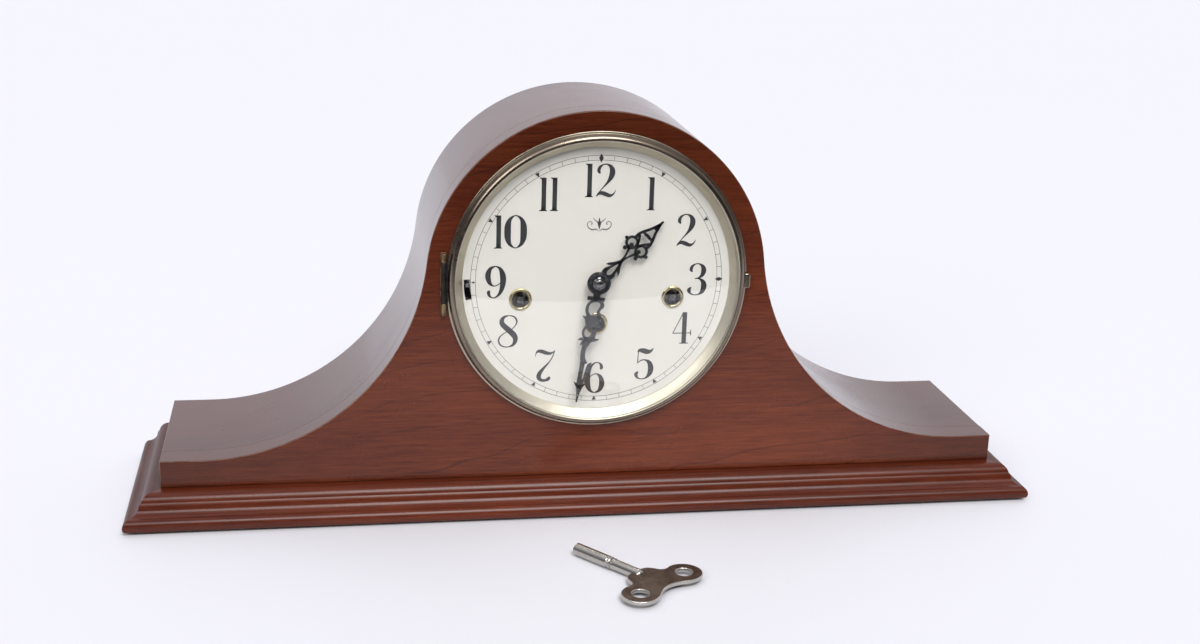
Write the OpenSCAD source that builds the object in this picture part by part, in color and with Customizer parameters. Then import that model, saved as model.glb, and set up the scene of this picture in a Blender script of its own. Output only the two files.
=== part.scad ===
// Tambour mantel clock with a three-train chiming movement.
// Frame: origin at the middle of the base footprint on the underside, +X to the
// viewer's right, +Y to the back, +Z up. The dial faces -Y. Millimetres.

/* [Case] */
// Width of the case, without the base moulding
body_w = 480; // [470:1:500]
// Depth of the case, front face to back face
body_d = 100; // [96:1:110]
// Height of the base moulding
base_h = 19.5; // [19:0.5:21]
// How far the base moulding stands out from the case
mould_out = 19.2; // [18:0.1:20]
// How far the base board runs past the back of the case
back_lip = 3; // [2:0.5:5]
// Height of the flat shoulders above the base
shoulder_h = 15.4; // [14:0.1:17]
// Radius of the arch over the dial
arch_r = 95.1; // [94:0.1:97]
// Radius of the flare from the arch down to each shoulder
flare_r = 123.7; // [115:0.1:130]
// Height of the dial centre above the base
dial_rise = 114.3; // [113:0.1:116]
// Thickness of the front panel
panel_t = 16; // [15.5:0.1:16.5]
// Thickness of the bent top
wrap_t = 6; // [5:0.5:7]

/* [Dial and bezel] */
// Radius of the dial plate
dial_r = 78.5; // [78:0.1:78.9]
// Depth of the dial face behind the front panel
dial_sink = 2; // [1.9:0.1:2.2]
// Outer radius of the bezel
bezel_r = 83; // [82.5:0.1:83.5]
// Height of the dome of the glass
glass_rise = 8; // [7:0.5:9]

/* [Hands] */
// Minute hand at rest, degrees clockwise from 12
minute_at = 189; // [0:1:360]
// Hour hand at rest, degrees clockwise from 12
hour_at = 45.8; // [0:0.1:360]
// Length of the minute hand from its centre
minute_len = 70; // [64:1:72]
// Length of the hour hand from its centre
hour_len = 49; // [44:1:52]

/* [Movement] */
// Thickness of the movement plates
plate_t = 1.6; // [1.4:0.1:1.6]
// Space between the movement plates
plate_gap = 30; // [30:0.5:31]
// Sideways distance of the outer winding holes
side_hole_x = 42.8; // [42.5:0.1:43.5]
// Drop of the outer winding holes below the dial centre
side_hole_drop = 10.1; // [9.8:0.1:10.4]

/* [Winding key] */
// Length of the key from the tip to the line of its wing holes
key_len = 59.6; // [55:0.1:62]
// Spacing of the two wing holes
key_holes = 35; // [32:0.5:37]

/* [Hidden] */
$fn = 96;
e = 0.01; // reach of a cutting tool past a face

// Planes from front to back
depth_all = mould_out + body_d + back_lip;
y_front = mould_out - depth_all / 2;
y_panel_back = y_front + panel_t;
y_back = y_front + body_d;
y_base_back = depth_all / 2;
y_dial = y_front + dial_sink;
dial_t = 0.8;
y_dial_back = y_dial + dial_t;
y_plates = y_panel_back - 5.1; // inner face of the front movement plate
y_plate_front = y_plates - plate_t;
y_rear_plate = y_plates + plate_gap;
y_rear = y_rear_plate + plate_t;

// Heights
z_dial = base_h + dial_rise;
z_shoulder = base_h + shoulder_h;

// Outline of the case
flare_z = z_shoulder + flare_r;
flare_x = sqrt(pow(arch_r + flare_r, 2) - pow(flare_z - z_dial, 2));

// Movement holes and opening
movement_hole_r = 74;
door_hole_r = 66;
back_t = 6;
door_t = 4;

// Gear data: module, tooth counts
m_great = 0.6;
m_train = 0.5;
n_great = 68;
n_pinion = 12;
n_second = 60;
n_centre = 64;
n_third = 60;
n_cannon = 15;
n_minute = 45;
n_hour = 48;
n_drum = 54;
n_drum_pinion = 18;

// Distances between meshed arbors
d_great = m_great * (n_great + n_pinion) / 2;
d_second = m_train * (n_second + n_pinion) / 2;
d_centre = m_train * (n_centre + n_pinion) / 2;
d_third = m_train * (n_third + n_pinion) / 2;
d_motion = m_train * (n_cannon + n_minute) / 2;
d_drum = m_train * (n_drum + n_drum_pinion) / 2;

function polar(r, a) = [r * cos(a), r * sin(a)];
function gap(a, b) = norm(b - a);
function arc_points(c, r, a, b, n) = [for (i = [0 : n]) c + polar(r, a + (b - a) * i / n)];
function dir(a, b) = atan2(b[1] - a[1], b[0] - a[0]);

// Places of the arbors, as (x, z) from the dial centre
p_strike = [-side_hole_x, -side_hole_drop];
p_chime = [side_hole_x, -side_hole_drop];
p_time = [0, -24.8];
// The second wheel stands where it meets both the great wheel and the centre pinion.
second_z = (d_great * d_great - d_second * d_second - p_time[1] * p_time[1]) / (-2 * p_time[1]);
p_second = [sqrt(d_second * d_second - second_z * second_z), second_z];
p_third = polar(d_centre, 135);
p_escape = p_third + polar(d_third, 60);
p_minute = [0, d_motion];
p_strike_2 = p_strike + polar(d_great, 75);
p_chime_2 = p_chime + polar(d_great, 105);
p_strike_fly = p_strike_2 + polar(d_second, 75);
p_chime_fly = p_chime_2 + polar(d_second, 105);
p_drum = p_chime_2 - [0, d_drum];
p_pallet = p_escape + [12.6, 0];
p_balance = p_pallet + [12, 0];
p_hammers = [30, -40];
p_bracket_post = [50, -27];

// Phases of the wheels, so that every pair is in mesh at rest
function meshed(way, phase, n_a, n_b) = way + 180 - (180 - (way - phase) * n_a) / n_b;
ph_second_pinion = meshed(dir(p_time, p_second), 0, n_great, n_pinion);
ph_centre_pinion = meshed(dir(p_second, [0, 0]), 0, n_second, n_pinion);
ph_third_pinion = meshed(dir([0, 0], p_third), 0, n_centre, n_pinion);
ph_escape_pinion = meshed(dir(p_third, p_escape), 0, n_third, n_pinion);
ph_minute_wheel = meshed(90, 0, n_cannon, n_minute);
ph_hour_wheel = meshed(-90, 0, n_pinion, n_hour);
ph_strike_pinion = meshed(dir(p_strike, p_strike_2), 0, n_great, n_pinion);
ph_chime_pinion = meshed(dir(p_chime, p_chime_2), 0, n_great, n_pinion);
ph_strike_fly = meshed(dir(p_strike_2, p_strike_fly), 0, n_second, n_pinion);
ph_chime_fly = meshed(dir(p_chime_2, p_chime_fly), 0, n_second, n_pinion);
ph_drum = meshed(-90, 0, n_drum_pinion, n_drum);

arbor_r = 1;
pivot_play = 0.05;
ratchet_r = 7.4;
ratchet_teeth = 16;
click_reach = 7.5;
click_at = [10.5, -4]; // pivot of a click from its ratchet wheel's centre

// Hammers and rods
rod_pitch = 5;
rod_r = 1.2;
rod_count = 4;
y_rods = y_rear + 7;
z_rods = z_dial - 72;

// ---- Shared shapes ----

// Extrudes a shape drawn in (x, z) from y = a back to y = b.
module slab(a, b) { translate([0, b, 0]) rotate([90, 0, 0]) linear_extrude(b - a) children(); }

// The same, drawn about the dial centre.
module on_dial(a, b) { translate([0, 0, z_dial]) slab(a, b) children(); }

// The same, drawn about an arbor.
module on_arbor(p, a, b) { on_dial(a, b) translate(p) children(); }

// Turns a profile of (radius, distance in front of the case face) about the dial axis.
module dial_turned() { translate([0, y_front, z_dial]) rotate([90, 0, 0]) rotate_extrude() children(); }

module disc(r, bore = 0) {
    difference() {
        circle(r);
        if (bore > 0) circle(bore);
    }
}

// Involute teeth with a pressure angle of 25 degrees and short addenda.
pressure = 25;
function inv(a) = tan(a) * 180 / PI - a;
function tooth_half(n, m, r) =
    90 / n - 0.04 / (m * n / 2) * 180 / PI + inv(pressure)
    - inv(acos(min(1, m * n / 2 * cos(pressure) / r)));
function flank(n, m) =
    let (rp = m * n / 2, rb = rp * cos(pressure), root = rp - 1.05 * m, tip = rp + 0.8 * m)
    rb > root ? [root, rb, rp, tip] : [root, rp, tip];
function gear_points(n, m, phase) = [
    for (i = [0 : n - 1])
        let (f = flank(n, m), c = phase + i * 360 / n, last = len(f) - 1)
        for (s = [0 : 2 * last + 1])
            let (up = s <= last, r = f[up ? s : 2 * last + 1 - s])
            polar(r, c + (up ? -1 : 1) * tooth_half(n, m, r))
];
module gear(n, m, phase, bore = 0) {
    difference() {
        polygon(gear_points(n, m, phase));
        if (bore > 0) circle(bore);
    }
}

// A wheel crossed out to four arms.
module wheel(n, m, phase, bore, hub) {
    rim = m * n / 2 - 1.05 * m - 1.4;
    difference() {
        gear(n, m, phase, bore);
        difference() {
            circle(rim);
            circle(hub);
            for (a = [0, 90]) rotate(phase + 45 + a) square([2 * rim + 1, 1.8], center = true);
        }
    }
}

// An arbor on its pivots, from plate to plate, with its pivots inside the plates.
module arbor(p, r = arbor_r) {
    on_arbor(p, y_plates + 0.3, y_rear_plate - 0.3) circle(r);
    on_arbor(p, y_plates - plate_t, y_plates + 0.3) circle(r * 0.6);
    on_arbor(p, y_rear_plate - 0.3, y_rear) circle(r * 0.6);
}

// ---- Case ----

// Outline of the case, drawn in by a margin on its curves and by another at its ends: shoulder,
// flare, arch, flare, shoulder.
function tambour_points(margin, ends) =
    let (half = body_w / 2 - ends, top = z_shoulder - margin, join = atan2(flare_z - z_dial, flare_x),
         flare = arc_points([flare_x, flare_z], flare_r + margin, 270, 180 + join, 28),
         arch = arc_points([0, z_dial], arch_r - margin, join, 180 - join, 64))
    concat([[half, base_h], [half, top]], flare, [for (i = [1 : 63]) arch[i]],
           [for (i = [28 : -1 : 0]) [-flare[i][0], flare[i][1]]], [[-half, top], [-half, base_h]]);
module tambour(margin = 0, ends = 0) { polygon(tambour_points(margin, ends)); }

module front_panel() {
    color("saddlebrown") difference() {
        slab(y_front, y_panel_back) tambour();
        on_dial(y_front - e, y_panel_back + e) circle(movement_hole_r);
        on_dial(y_front - e, y_dial_back) circle(dial_r + 1);
    }
}

module top_wrap() {
    color("sienna") slab(y_panel_back, y_back) difference() {
        tambour();
        tambour(wrap_t, 12);
    }
}

module base_board() {
    board_w = body_w - 16;
    color("saddlebrown") translate([-board_w / 2, y_front + 8, 1])
        cube([board_w, y_base_back - y_front - 8, base_h - 1]);
}

// Section of the base moulding as (distance out from the case, height).
mould_section = concat(
    [[-8, 1], [-8, base_h], [4, base_h]],
    arc_points([4, base_h - 6], 6, 80, 12, 5),
    [[10.6, base_h - 5.4], [11, base_h - 7.6]],
    arc_points([16.6, base_h - 5.2], 6, 205, 262, 4),
    arc_points([mould_out - 4.4, base_h - 15.2], 4.4, 68, -35, 7),
    [[mould_out - 2.4, 1]]
);
module moulding_run(length, start_mitre, end_mitre) {
    reach = mould_out + 10;
    difference() {
        rotate([90, 0, 90]) linear_extrude(length + 2 * reach, center = true)
            polygon([for (p = mould_section) [-p[0], p[1]]]);
        for (s = [-1, 1]) if (s < 0 ? start_mitre : end_mitre)
            translate([s * length / 2, 0, -1]) rotate(s * 45)
                translate([s < 0 ? -3 * reach : 0, -3 * reach, 0]) cube([3 * reach, 6 * reach, base_h + 9]);
        for (s = [-1, 1]) if (!(s < 0 ? start_mitre : end_mitre))
            translate([s < 0 ? -length / 2 - 2 * reach : length / 2, -reach, -1])
                cube([2 * reach, 2 * reach, base_h + 9]);
    }
}
module moulding_front() {
    color("saddlebrown") translate([0, y_front, 0]) moulding_run(body_w, true, true);
}
side_run = y_base_back - y_front;
module moulding_left() {
    color("saddlebrown") translate([-body_w / 2, y_front + side_run / 2, 0]) rotate(-90)
        moulding_run(side_run, false, true);
}
module moulding_right() {
    color("saddlebrown") translate([body_w / 2, y_front + side_run / 2, 0]) rotate(90)
        moulding_run(side_run, true, false);
}

module base_felt() {
    felt = [body_w - 40, depth_all - 36, 1];
    color("darkolivegreen") translate([-felt[0] / 2, -felt[1] / 2, 0]) cube(felt);
}

module back_panel() {
    color("peru") difference() {
        slab(y_back - back_t, y_back) tambour(wrap_t + 0.1, 12.1);
        on_dial(y_back - back_t - e, y_back + e) circle(door_hole_r);
        on_dial(y_back - door_t, y_back + e) circle(door_hole_r + 4);
        // Seats of the two hinges
        for (s = [-1, 1]) translate([-door_hole_r - 9, y_back - 0.8, z_dial + s * 24 - 8]) cube([14, 1, 16]);
    }
}

// The door turns on a vertical pin at its left edge as seen from the front.
door_axis = [-door_hole_r - 3, y_back + 1.6];
module door_leaves() {
    color("goldenrod") for (s = [-1, 1]) translate([0, 0, z_dial + s * 24]) {
        translate([-door_hole_r - 8.6, y_back - 0.8, -7.6]) cube([4, 0.8, 15.2]);
        for (t = [-7.6, 3]) difference() {
            union() {
                translate([door_axis[0], door_axis[1], t]) cylinder(r = 1.4, h = 4.6);
                translate([door_axis[0] - 5, y_back - 0.8, t]) cube([5, 1.4, 4.6]);
            }
            translate([door_axis[0], door_axis[1], t - e]) cylinder(r = 0.7, h = 5);
        }
        translate([door_axis[0], door_axis[1], -7.6]) cylinder(r = 0.7, h = 15.2);
    }
}

module rear_door() {
    color("peru") difference() {
        on_dial(y_back - door_t + 0.1, y_back) circle(door_hole_r + 3.6);
        // Sound slots
        for (i = [-3 : 3]) let (half = 44 - abs(i) * 6)
            translate([-half, y_back - door_t - 1, z_dial + i * 11 - 2]) cube([2 * half, door_t + 2, 4]);
        // Room for the hinges
        for (s = [-1, 1]) translate([-door_hole_r - 6, y_back - door_t - 1, z_dial + s * 24 - 8])
            cube([6, door_t + 2, 16]);
    }
}

module door_flaps() {
    color("goldenrod") for (s = [-1, 1]) translate([0, 0, z_dial + s * 24]) difference() {
        union() {
            translate([door_axis[0], door_axis[1], -2.9]) cylinder(r = 1.4, h = 5.8);
            translate([door_axis[0], y_back + 0.05, -2.9]) cube([4, 0.8, 5.8]);
            translate([door_axis[0] + 3.4, y_back + 0.01, -6]) cube([8, 0.8, 12]);
        }
        translate([door_axis[0], door_axis[1], -4]) cylinder(r = 0.74, h = 8);
    }
}

// A turn button on the back panel. It stands upright at rest, clear of the door, and holds the
// door when it is turned to point inwards.
button_at = [door_hole_r + 8, 0];
module door_button() {
    color("goldenrod") {
        on_arbor(button_at, y_back + 0.1, y_back + 1.4) {
            translate([-2.5, 0]) square([5, 8]);
            circle(3.6);
        }
        on_arbor(button_at, y_back + 1.4, y_back + 4) circle(2.4);
    }
}

// ---- Bezel and dial ----

hinge_x = -bezel_r - 2.2;
hinge_y = y_front - 2.1;
hinge_half = 17.5;
module bezel_leaf() {
    color("darkgoldenrod") {
        translate([hinge_x - 3.4, y_front - 0.5, z_dial - hinge_half]) cube([4.4, 0.5, 2 * hinge_half]);
        for (t = [[-hinge_half, 6.7], [hinge_half - 5, 5]]) {
            translate([hinge_x, hinge_y, z_dial + t[0]]) cylinder(r = 1.5, h = t[1]);
            translate([hinge_x - 1.5, hinge_y, z_dial + t[0]]) cube([3, 1.7, t[1]]);
        }
        translate([hinge_x, hinge_y, z_dial - hinge_half]) cylinder(r = 0.75, h = 2 * hinge_half);
    }
}

bezel_section = [[80.3, 0.3], [83, 0.3], [83, 2.6], [82.6, 3.8], [81.6, 4.9], [80.2, 5.4], [79.2, 5.2],
                 [79, 4.7], [79, 4.45], [80.3, 4.45]];
module bezel_ring() {
    color("tan") {
        dial_turned() polygon([for (p = bezel_section) [p[0] + bezel_r - 83, p[1]]]);
        // Finger tab at three o'clock
        difference() {
            translate([bezel_r - 2, y_front - 4, z_dial - 4.2]) cube([4.8, 3, 8.4]);
            translate([0, y_front, z_dial]) rotate([90, 0, 0]) cylinder(r = bezel_r - 0.3, h = 9);
        }
    }
}

module bezel_knuckle() {
    z0 = z_dial - hinge_half + 6.8;
    len = 2 * hinge_half - 11.9;
    color("dimgray") difference() {
        union() {
            translate([hinge_x, hinge_y, z0]) cylinder(r = 1.5, h = len);
            translate([hinge_x, hinge_y - 0.6, z0]) cube([4.5, 1.8, len]);
        }
        translate([hinge_x, hinge_y, z0 - 1]) cylinder(r = 0.8, h = len + 2);
        translate([0, y_front, z_dial]) rotate([90, 0, 0]) cylinder(r = bezel_r, h = 9);
    }
}

module bezel_reflector() {
    color("khaki") dial_turned()
        polygon([[80.3, 1.7], [80.3, 2.4], [79, 2.4], [74.7, -1.5], [74.7, -1.8], [75.1, -1.8], [79.2, 1.7]]);
}

module bezel_glass() {
    rim_r = 80.3;
    rim_d = 4.1;
    thick = 1.5;
    ball_r = (rim_r * rim_r + glass_rise * glass_rise) / (2 * glass_rise);
    color([0.8, 0.9, 0.95, 0.3]) dial_turned() intersection() {
        translate([0, rim_d + glass_rise - ball_r]) difference() {
            circle(ball_r);
            circle(ball_r - thick);
        }
        translate([0, rim_d - thick]) square([rim_r, glass_rise + thick]);
    }
}

slot_at = [-72, -4.2];
lever_pivot = [-24, 1];
lever_arm = gap(lever_pivot, slot_at);
lever_turn = 8;
lever_rest = 180 + asin((lever_pivot[1] - slot_at[1]) / lever_arm) - lever_turn / 2;
module dial_plate() {
    color("ivory") difference() {
        union() {
            on_dial(y_dial, y_dial_back) circle(dial_r);
            for (a = [40, 140, 220, 320]) on_arbor(polar(62, a), y_dial_back, y_plate_front) circle(2);
        }
        on_dial(y_dial - e, y_dial_back + e) circle(5);
        for (p = [p_strike, p_chime, p_time]) on_arbor(p, y_dial - e, y_dial_back + e) circle(5.2);
        // Curved slot of the silent lever
        on_arbor(lever_pivot, y_dial - e, y_dial_back + e) for (i = [-3 : 3])
            rotate(lever_rest + lever_turn / 2 + i * (lever_turn / 6 + 0.4))
                translate([lever_arm, 0]) square([3.2, 3], center = true);
    }
}

module grommets() {
    color("goldenrod") for (p = [p_strike, p_chime, p_time])
        translate([p[0], y_dial, z_dial + p[1]]) rotate([90, 0, 0]) rotate_extrude()
            polygon([[4.4, -2.4], [5.2, -2.4], [5.2, 0], [6.4, 0],
                     [6.2, 0.5], [5.6, 0.8], [4.8, 0.6], [4.4, 0]]);
}

// ---- Hands and motion work ----

module hand_shape(length, hub, bore, ring_at, ring_r, blade_at, blade_w) {
    difference() {
        union() {
            circle(hub);
            translate([0, -1.1]) square([ring_at, 2.2]);
            translate([ring_at, 0]) circle(ring_r);
            polygon([[ring_at, -1], [blade_at, -blade_w], [length, -0.15], [length, 0.15],
                     [blade_at, blade_w], [ring_at, 1]]);
        }
        circle(bore);
        translate([ring_at, 0]) circle(ring_r - 1.5);
    }
}

tube_r = 3.2;
y_hour_hand = y_dial - 3.2;
y_minute_hand = y_dial - 5;
module hour_hand() {
    color("black") on_dial(y_hour_hand - 0.8, y_hour_hand) rotate(90 - hour_at)
        hand_shape(hour_len, 5.6, tube_r, 27, 6, 36, 3);
}
module hour_wheel() {
    color("goldenrod") {
        on_dial(y_plate_front - 3.6, y_plate_front - 2.4) wheel(n_hour, m_train, ph_hour_wheel, 2.2, 4.4);
        on_dial(y_hour_hand - 1, y_plate_front - 3.6) disc(tube_r, 2.2);
    }
}
module minute_hand() {
    color("black") on_dial(y_minute_hand - 0.8, y_minute_hand) rotate(90 - minute_at)
        hand_shape(minute_len, 5.4, 1.2, 17, 4.4, 54, 2.4);
}
module hand_nut() {
    color("dimgray") translate([0, y_minute_hand - 0.8, z_dial]) rotate([90, 0, 0]) difference() {
        union() {
            cylinder(r = 3.4, h = 1);
            cylinder(r = 2.6, h = 2.2);
        }
        translate([0, 0, -1]) cylinder(r = 1.2, h = 2.8);
    }
}
module cannon_pinion() {
    color("goldenrod") {
        on_dial(y_plate_front - 1.6, y_plate_front - 0.4) gear(n_cannon, m_train, 0, 1.2);
        on_dial(y_minute_hand, y_plate_front - 1.6) disc(2.15, 1.2);
    }
}
module centre_wheel() {
    color("goldenrod") {
        on_dial(y_minute_hand - 2.4, y_rear_plate - 0.3) circle(1.2);
        on_dial(y_rear_plate - 0.3, y_rear) circle(0.8);
        on_dial(y_plates + 0.8, y_plates + 3.2) gear(n_pinion, m_train, ph_centre_pinion);
        on_dial(y_plates + 25.5, y_plates + 27) wheel(n_centre, m_train, 0, 0, 3);
    }
}
module minute_wheel() {
    color("goldenrod") {
        on_arbor(p_minute, y_plate_front - 1.6, y_plate_front - 0.4)
            wheel(n_minute, m_train, ph_minute_wheel, 0.85, 2.6);
        on_arbor(p_minute, y_plate_front - 3.8, y_plate_front - 1.6) gear(n_pinion, m_train, 0, 0.85);
    }
}

// ---- Movement frame ----

all_pivots = [p_second, p_third, p_strike_2, p_strike_fly, p_chime_fly];
main_pivots = [p_strike, p_time, p_chime];
module plate_outline() { translate([-56, -44]) square([112, 86]); }
pillar_at = [[-50, -37], [50, -37], [-50, 37], [50, 37]];
module front_plate() {
    color("goldenrod") difference() {
        union() {
            on_dial(y_plate_front, y_plates) plate_outline();
            // Stud of the minute wheel and of the silent lever
            on_arbor(p_minute, y_plate_front - 4.4, y_plate_front) circle(0.8);
            on_arbor(lever_pivot, y_plate_front - 3.4, y_plate_front) circle(1);
        }
        for (p = concat(all_pivots, [p_escape, p_chime_2])) on_arbor(p, y_plate_front - e, y_plates + e)
            circle(arbor_r * 0.6 + pivot_play);
        on_dial(y_plate_front - e, y_plates + e) circle(1.2 + pivot_play);
        for (p = main_pivots) on_arbor(p, y_plate_front - e, y_plates + e) circle(2.5 + pivot_play);
        for (p = main_pivots) on_arbor(p + click_at, y_plate_front - e, y_plates + e)
            circle(0.8 + pivot_play);
    }
}
module back_plate() {
    color("goldenrod") difference() {
        on_dial(y_rear_plate, y_rear) plate_outline();
        for (p = all_pivots) on_arbor(p, y_rear_plate - e, y_rear + e) circle(arbor_r * 0.6 + pivot_play);
        on_dial(y_rear_plate - e, y_rear + e) circle(0.8 + pivot_play);
        for (p = [p_escape, p_chime_2]) on_arbor(p, y_rear_plate - e, y_rear + e)
            circle(arbor_r + pivot_play);
        for (p = main_pivots) on_arbor(p, y_rear_plate - e, y_rear + e) circle(2 + pivot_play);
        // Seats of the drum stud, the pallet staff and the balance staff
        on_arbor(p_drum, y_rear_plate - e, y_rear + e) circle(1.5 + pivot_play);
        for (p = [p_pallet, p_balance]) on_arbor(p, y_rear_plate - e, y_rear + e) circle(0.5 + pivot_play);
    }
}
module pillars() {
    color("gold") for (p = pillar_at) {
        on_arbor(p, y_plates, y_rear_plate) circle(3);
        on_arbor(p, y_rear, y_rear + 2.4) circle(r = 3.4, $fn = 6);
    }
}

bracket_z = [-30, 26];
bracket_screw_x = 76;
// Four cranked brackets hold the movement to the back of the front panel.
module brackets() {
    crank = 59;
    reach = 81.8;
    metal = 1.2;
    color("silver") for (side = [0, 1], z = bracket_z) mirror([side, 0, 0]) difference() {
        translate([0, y_plates, z_dial + z - 5]) {
            translate([crank - 6, 0, 0]) cube([6, metal, 10]);
            translate([crank - metal, 0, 0]) cube([metal, y_panel_back - y_plates + metal, 10]);
            translate([crank - metal, y_panel_back - y_plates, 0]) cube([reach - crank + metal, metal, 10]);
        }
        translate([bracket_screw_x, y_panel_back - 1, z_dial + z]) rotate([-90, 0, 0])
            cylinder(r = 1.8, h = 4);
    }
}
module bracket_screws() {
    color("silver") for (sx = [-1, 1], z = bracket_z)
        translate([sx * bracket_screw_x, y_panel_back, z_dial + z]) rotate([-90, 0, 0]) {
            difference() {
                translate([0, 0, 1.2]) cylinder(r = 3.2, h = 1.6);
                translate([-4, -0.4, 2.1]) cube([8, 0.8, 1]);
            }
            cylinder(r = 1.7, h = 1.2);
        }
}

// ---- Trains ----

// Spring barrel with its great wheel, running on its winding arbor.
module barrel(p) {
    on_arbor(p, y_plates + 5.5, y_plates + 6.5) disc(19, 3.05);
    on_arbor(p, y_plates + 6.5, y_plates + 21) disc(19, 18);
    on_arbor(p, y_plates + 21, y_plates + 22) disc(19, 3.05);
    on_arbor(p, y_plates + 22, y_plates + 24) gear(n_great, m_great, 0, 3.05);
}
// Winding arbor: square end for the key, ratchet wheel, spring hub and rear pivot.
module winding_arbor(p) {
    square_w = 3.6;
    on_arbor(p, y_dial - 1, y_plate_front - 2.4) square(square_w, center = true);
    on_arbor(p, y_plate_front - 2.4, y_plates + 5) circle(2.5);
    on_arbor(p, y_plates + 5, y_plates + 25) circle(3);
    on_arbor(p, y_plates + 25, y_rear) circle(2);
    on_arbor(p, y_plate_front - 1.8, y_plate_front - 0.6) polygon([
        for (i = [0 : ratchet_teeth - 1]) let (a = i * 360 / ratchet_teeth)
            for (t = [[ratchet_r - 1.3, 0], [ratchet_r, 2]]) polar(t[0], a + t[1])
    ]);
}
module click(p) {
    at = p + click_at;
    way = dir(at, p);
    on_arbor(at, y_plate_front - 1.8, y_plate_front - 0.6) rotate(way) {
        circle(1.7);
        polygon([[0, -1.4], [gap(at, p) - click_reach, -0.5], [gap(at, p) - click_reach, 0.5], [0, 1.4]]);
    }
    on_arbor(at, y_plate_front - 0.6, y_plates) circle(0.8);
}

module time_barrel() { color("gold") barrel(p_time); }
module strike_barrel() { color("gold") barrel(p_strike); }
module chime_barrel() { color("gold") barrel(p_chime); }
module time_arbor() { color("silver") winding_arbor(p_time); }
module strike_arbor() { color("silver") winding_arbor(p_strike); }
module chime_arbor() { color("silver") winding_arbor(p_chime); }
module click_time() { color("silver") click(p_time); }
module click_strike() { color("silver") click(p_strike); }
module click_chime() { color("silver") click(p_chime); }

module second_wheel() {
    color("goldenrod") {
        arbor(p_second);
        on_arbor(p_second, y_plates + 1.2, y_plates + 2.6) wheel(n_second, m_train, 0, 0, 3);
        on_arbor(p_second, y_plates + 21.6, y_plates + 24.4) gear(n_pinion, m_great, ph_second_pinion);
    }
}
module third_wheel() {
    color("goldenrod") {
        arbor(p_third);
        on_arbor(p_third, y_plates + 17, y_plates + 18.5) wheel(n_third, m_train, 0, 0, 3);
        on_arbor(p_third, y_plates + 25, y_plates + 27.5) gear(n_pinion, m_train, ph_third_pinion);
    }
}
escape_r = 9;
escape_teeth = 15;
y_escape = y_rear + 2;
module escape_wheel() {
    color("gold") {
        on_arbor(p_escape, y_plates + 0.3, y_escape + 1) circle(arbor_r);
        on_arbor(p_escape, y_plates - plate_t, y_plates + 0.3) circle(arbor_r * 0.6);
        on_arbor(p_escape, y_plates + 16.5, y_plates + 19) gear(n_pinion, m_train, ph_escape_pinion);
        on_arbor(p_escape, y_escape, y_escape + 1) difference() {
            polygon([for (i = [0 : escape_teeth - 1]) let (a = i * 360 / escape_teeth)
                for (t = [[escape_r - 2.4, -9], [escape_r, 0], [escape_r - 2.4, 3]]) polar(t[0], a + t[1])]);
            difference() {
                circle(escape_r - 3.6);
                circle(2.2);
                for (a = [0, 90]) rotate(a) square([20, 1.4], center = true);
            }
        }
    }
}
// The lever's pallets stand just outside the circle of the escape wheel's teeth.
module pallet_lever() {
    reach = escape_r + 0.8;
    color("silver") {
        on_arbor(p_pallet, y_escape, y_escape + 1) difference() {
            union() {
                circle(1.6);
                for (s = [-1, 1]) polygon([[-1, s * 1.4], [-8.6, s * 8.4], [-7, s * 9.4], [1, s * 1.2]]);
                translate([0, -0.6]) square([8.4, 1.2]);
            }
            translate([-12.6, 0]) circle(reach);
        }
        on_arbor(p_pallet, y_rear_plate, y_escape + 5.6) circle(0.5);
    }
}
y_balance = y_escape + 2.6;
module balance_wheel() {
    color("gold") {
        on_arbor(p_balance, y_balance, y_balance + 1.2) difference() {
            circle(9.5);
            difference() {
                circle(8);
                circle(1.8);
                square([18, 1.2], center = true);
            }
        }
        on_arbor(p_balance, y_rear_plate, y_escape + 5.6) circle(0.5);
        // Hairspring above the wheel
        on_arbor(p_balance, y_balance + 1.6, y_balance + 2)
            for (r = [1.4 : 1 : 5.4]) disc(r, r - 0.3);
        on_arbor(p_balance, y_balance + 1.2, y_balance + 1.6) circle(5.4);
    }
}
module balance_bridge() {
    y_top = y_escape + 5.6;
    color("silver") difference() {
        union() {
            on_dial(y_top - 0.6, y_top + 1) hull() {
                translate(p_pallet - [2, 14]) circle(3);
                translate(p_balance + [2, 13]) circle(3);
                translate(p_balance) circle(3);
                translate(p_pallet) circle(2);
            }
            for (p = [p_pallet - [2, 14], p_balance + [2, 13]]) on_arbor(p, y_rear, y_top) circle(2);
        }
        for (p = [p_pallet, p_balance]) on_arbor(p, y_top - 1, y_top + 2) circle(0.5 + pivot_play);
    }
}

// Second wheel of the strike or chime train, with its pinion at the back.
module train_wheel(p, phase, level) {
    arbor(p);
    on_arbor(p, y_plates + level, y_plates + level + 1.2) wheel(n_second, m_train, 0, 0, 3);
    on_arbor(p, y_plates + 21.6, y_plates + 24.4) gear(n_pinion, m_great, phase);
}
module fly(p, phase, level) {
    arbor(p);
    on_arbor(p, y_plates + level - 0.3, y_plates + level + 1.5) gear(n_pinion, m_train, phase);
    on_arbor(p, y_plates + 10, y_plates + 16) square([17, 0.8], center = true);
}
module strike_wheel() { color("goldenrod") train_wheel(p_strike_2, ph_strike_pinion, 1.2); }
module strike_fly() { color("silver") fly(p_strike_fly, ph_strike_fly, 1.2); }
module chime_wheel() {
    color("goldenrod") {
        train_wheel(p_chime_2, ph_chime_pinion, 3.2);
        on_arbor(p_chime_2, y_rear_plate - 0.3, y_rear + 3) circle(arbor_r);
        on_arbor(p_chime_2, y_rear + 0.8, y_rear + 3) gear(n_drum_pinion, m_train, 0);
    }
}
module chime_fly() { color("silver") fly(p_chime_fly, ph_chime_fly, 3.2); }

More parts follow.
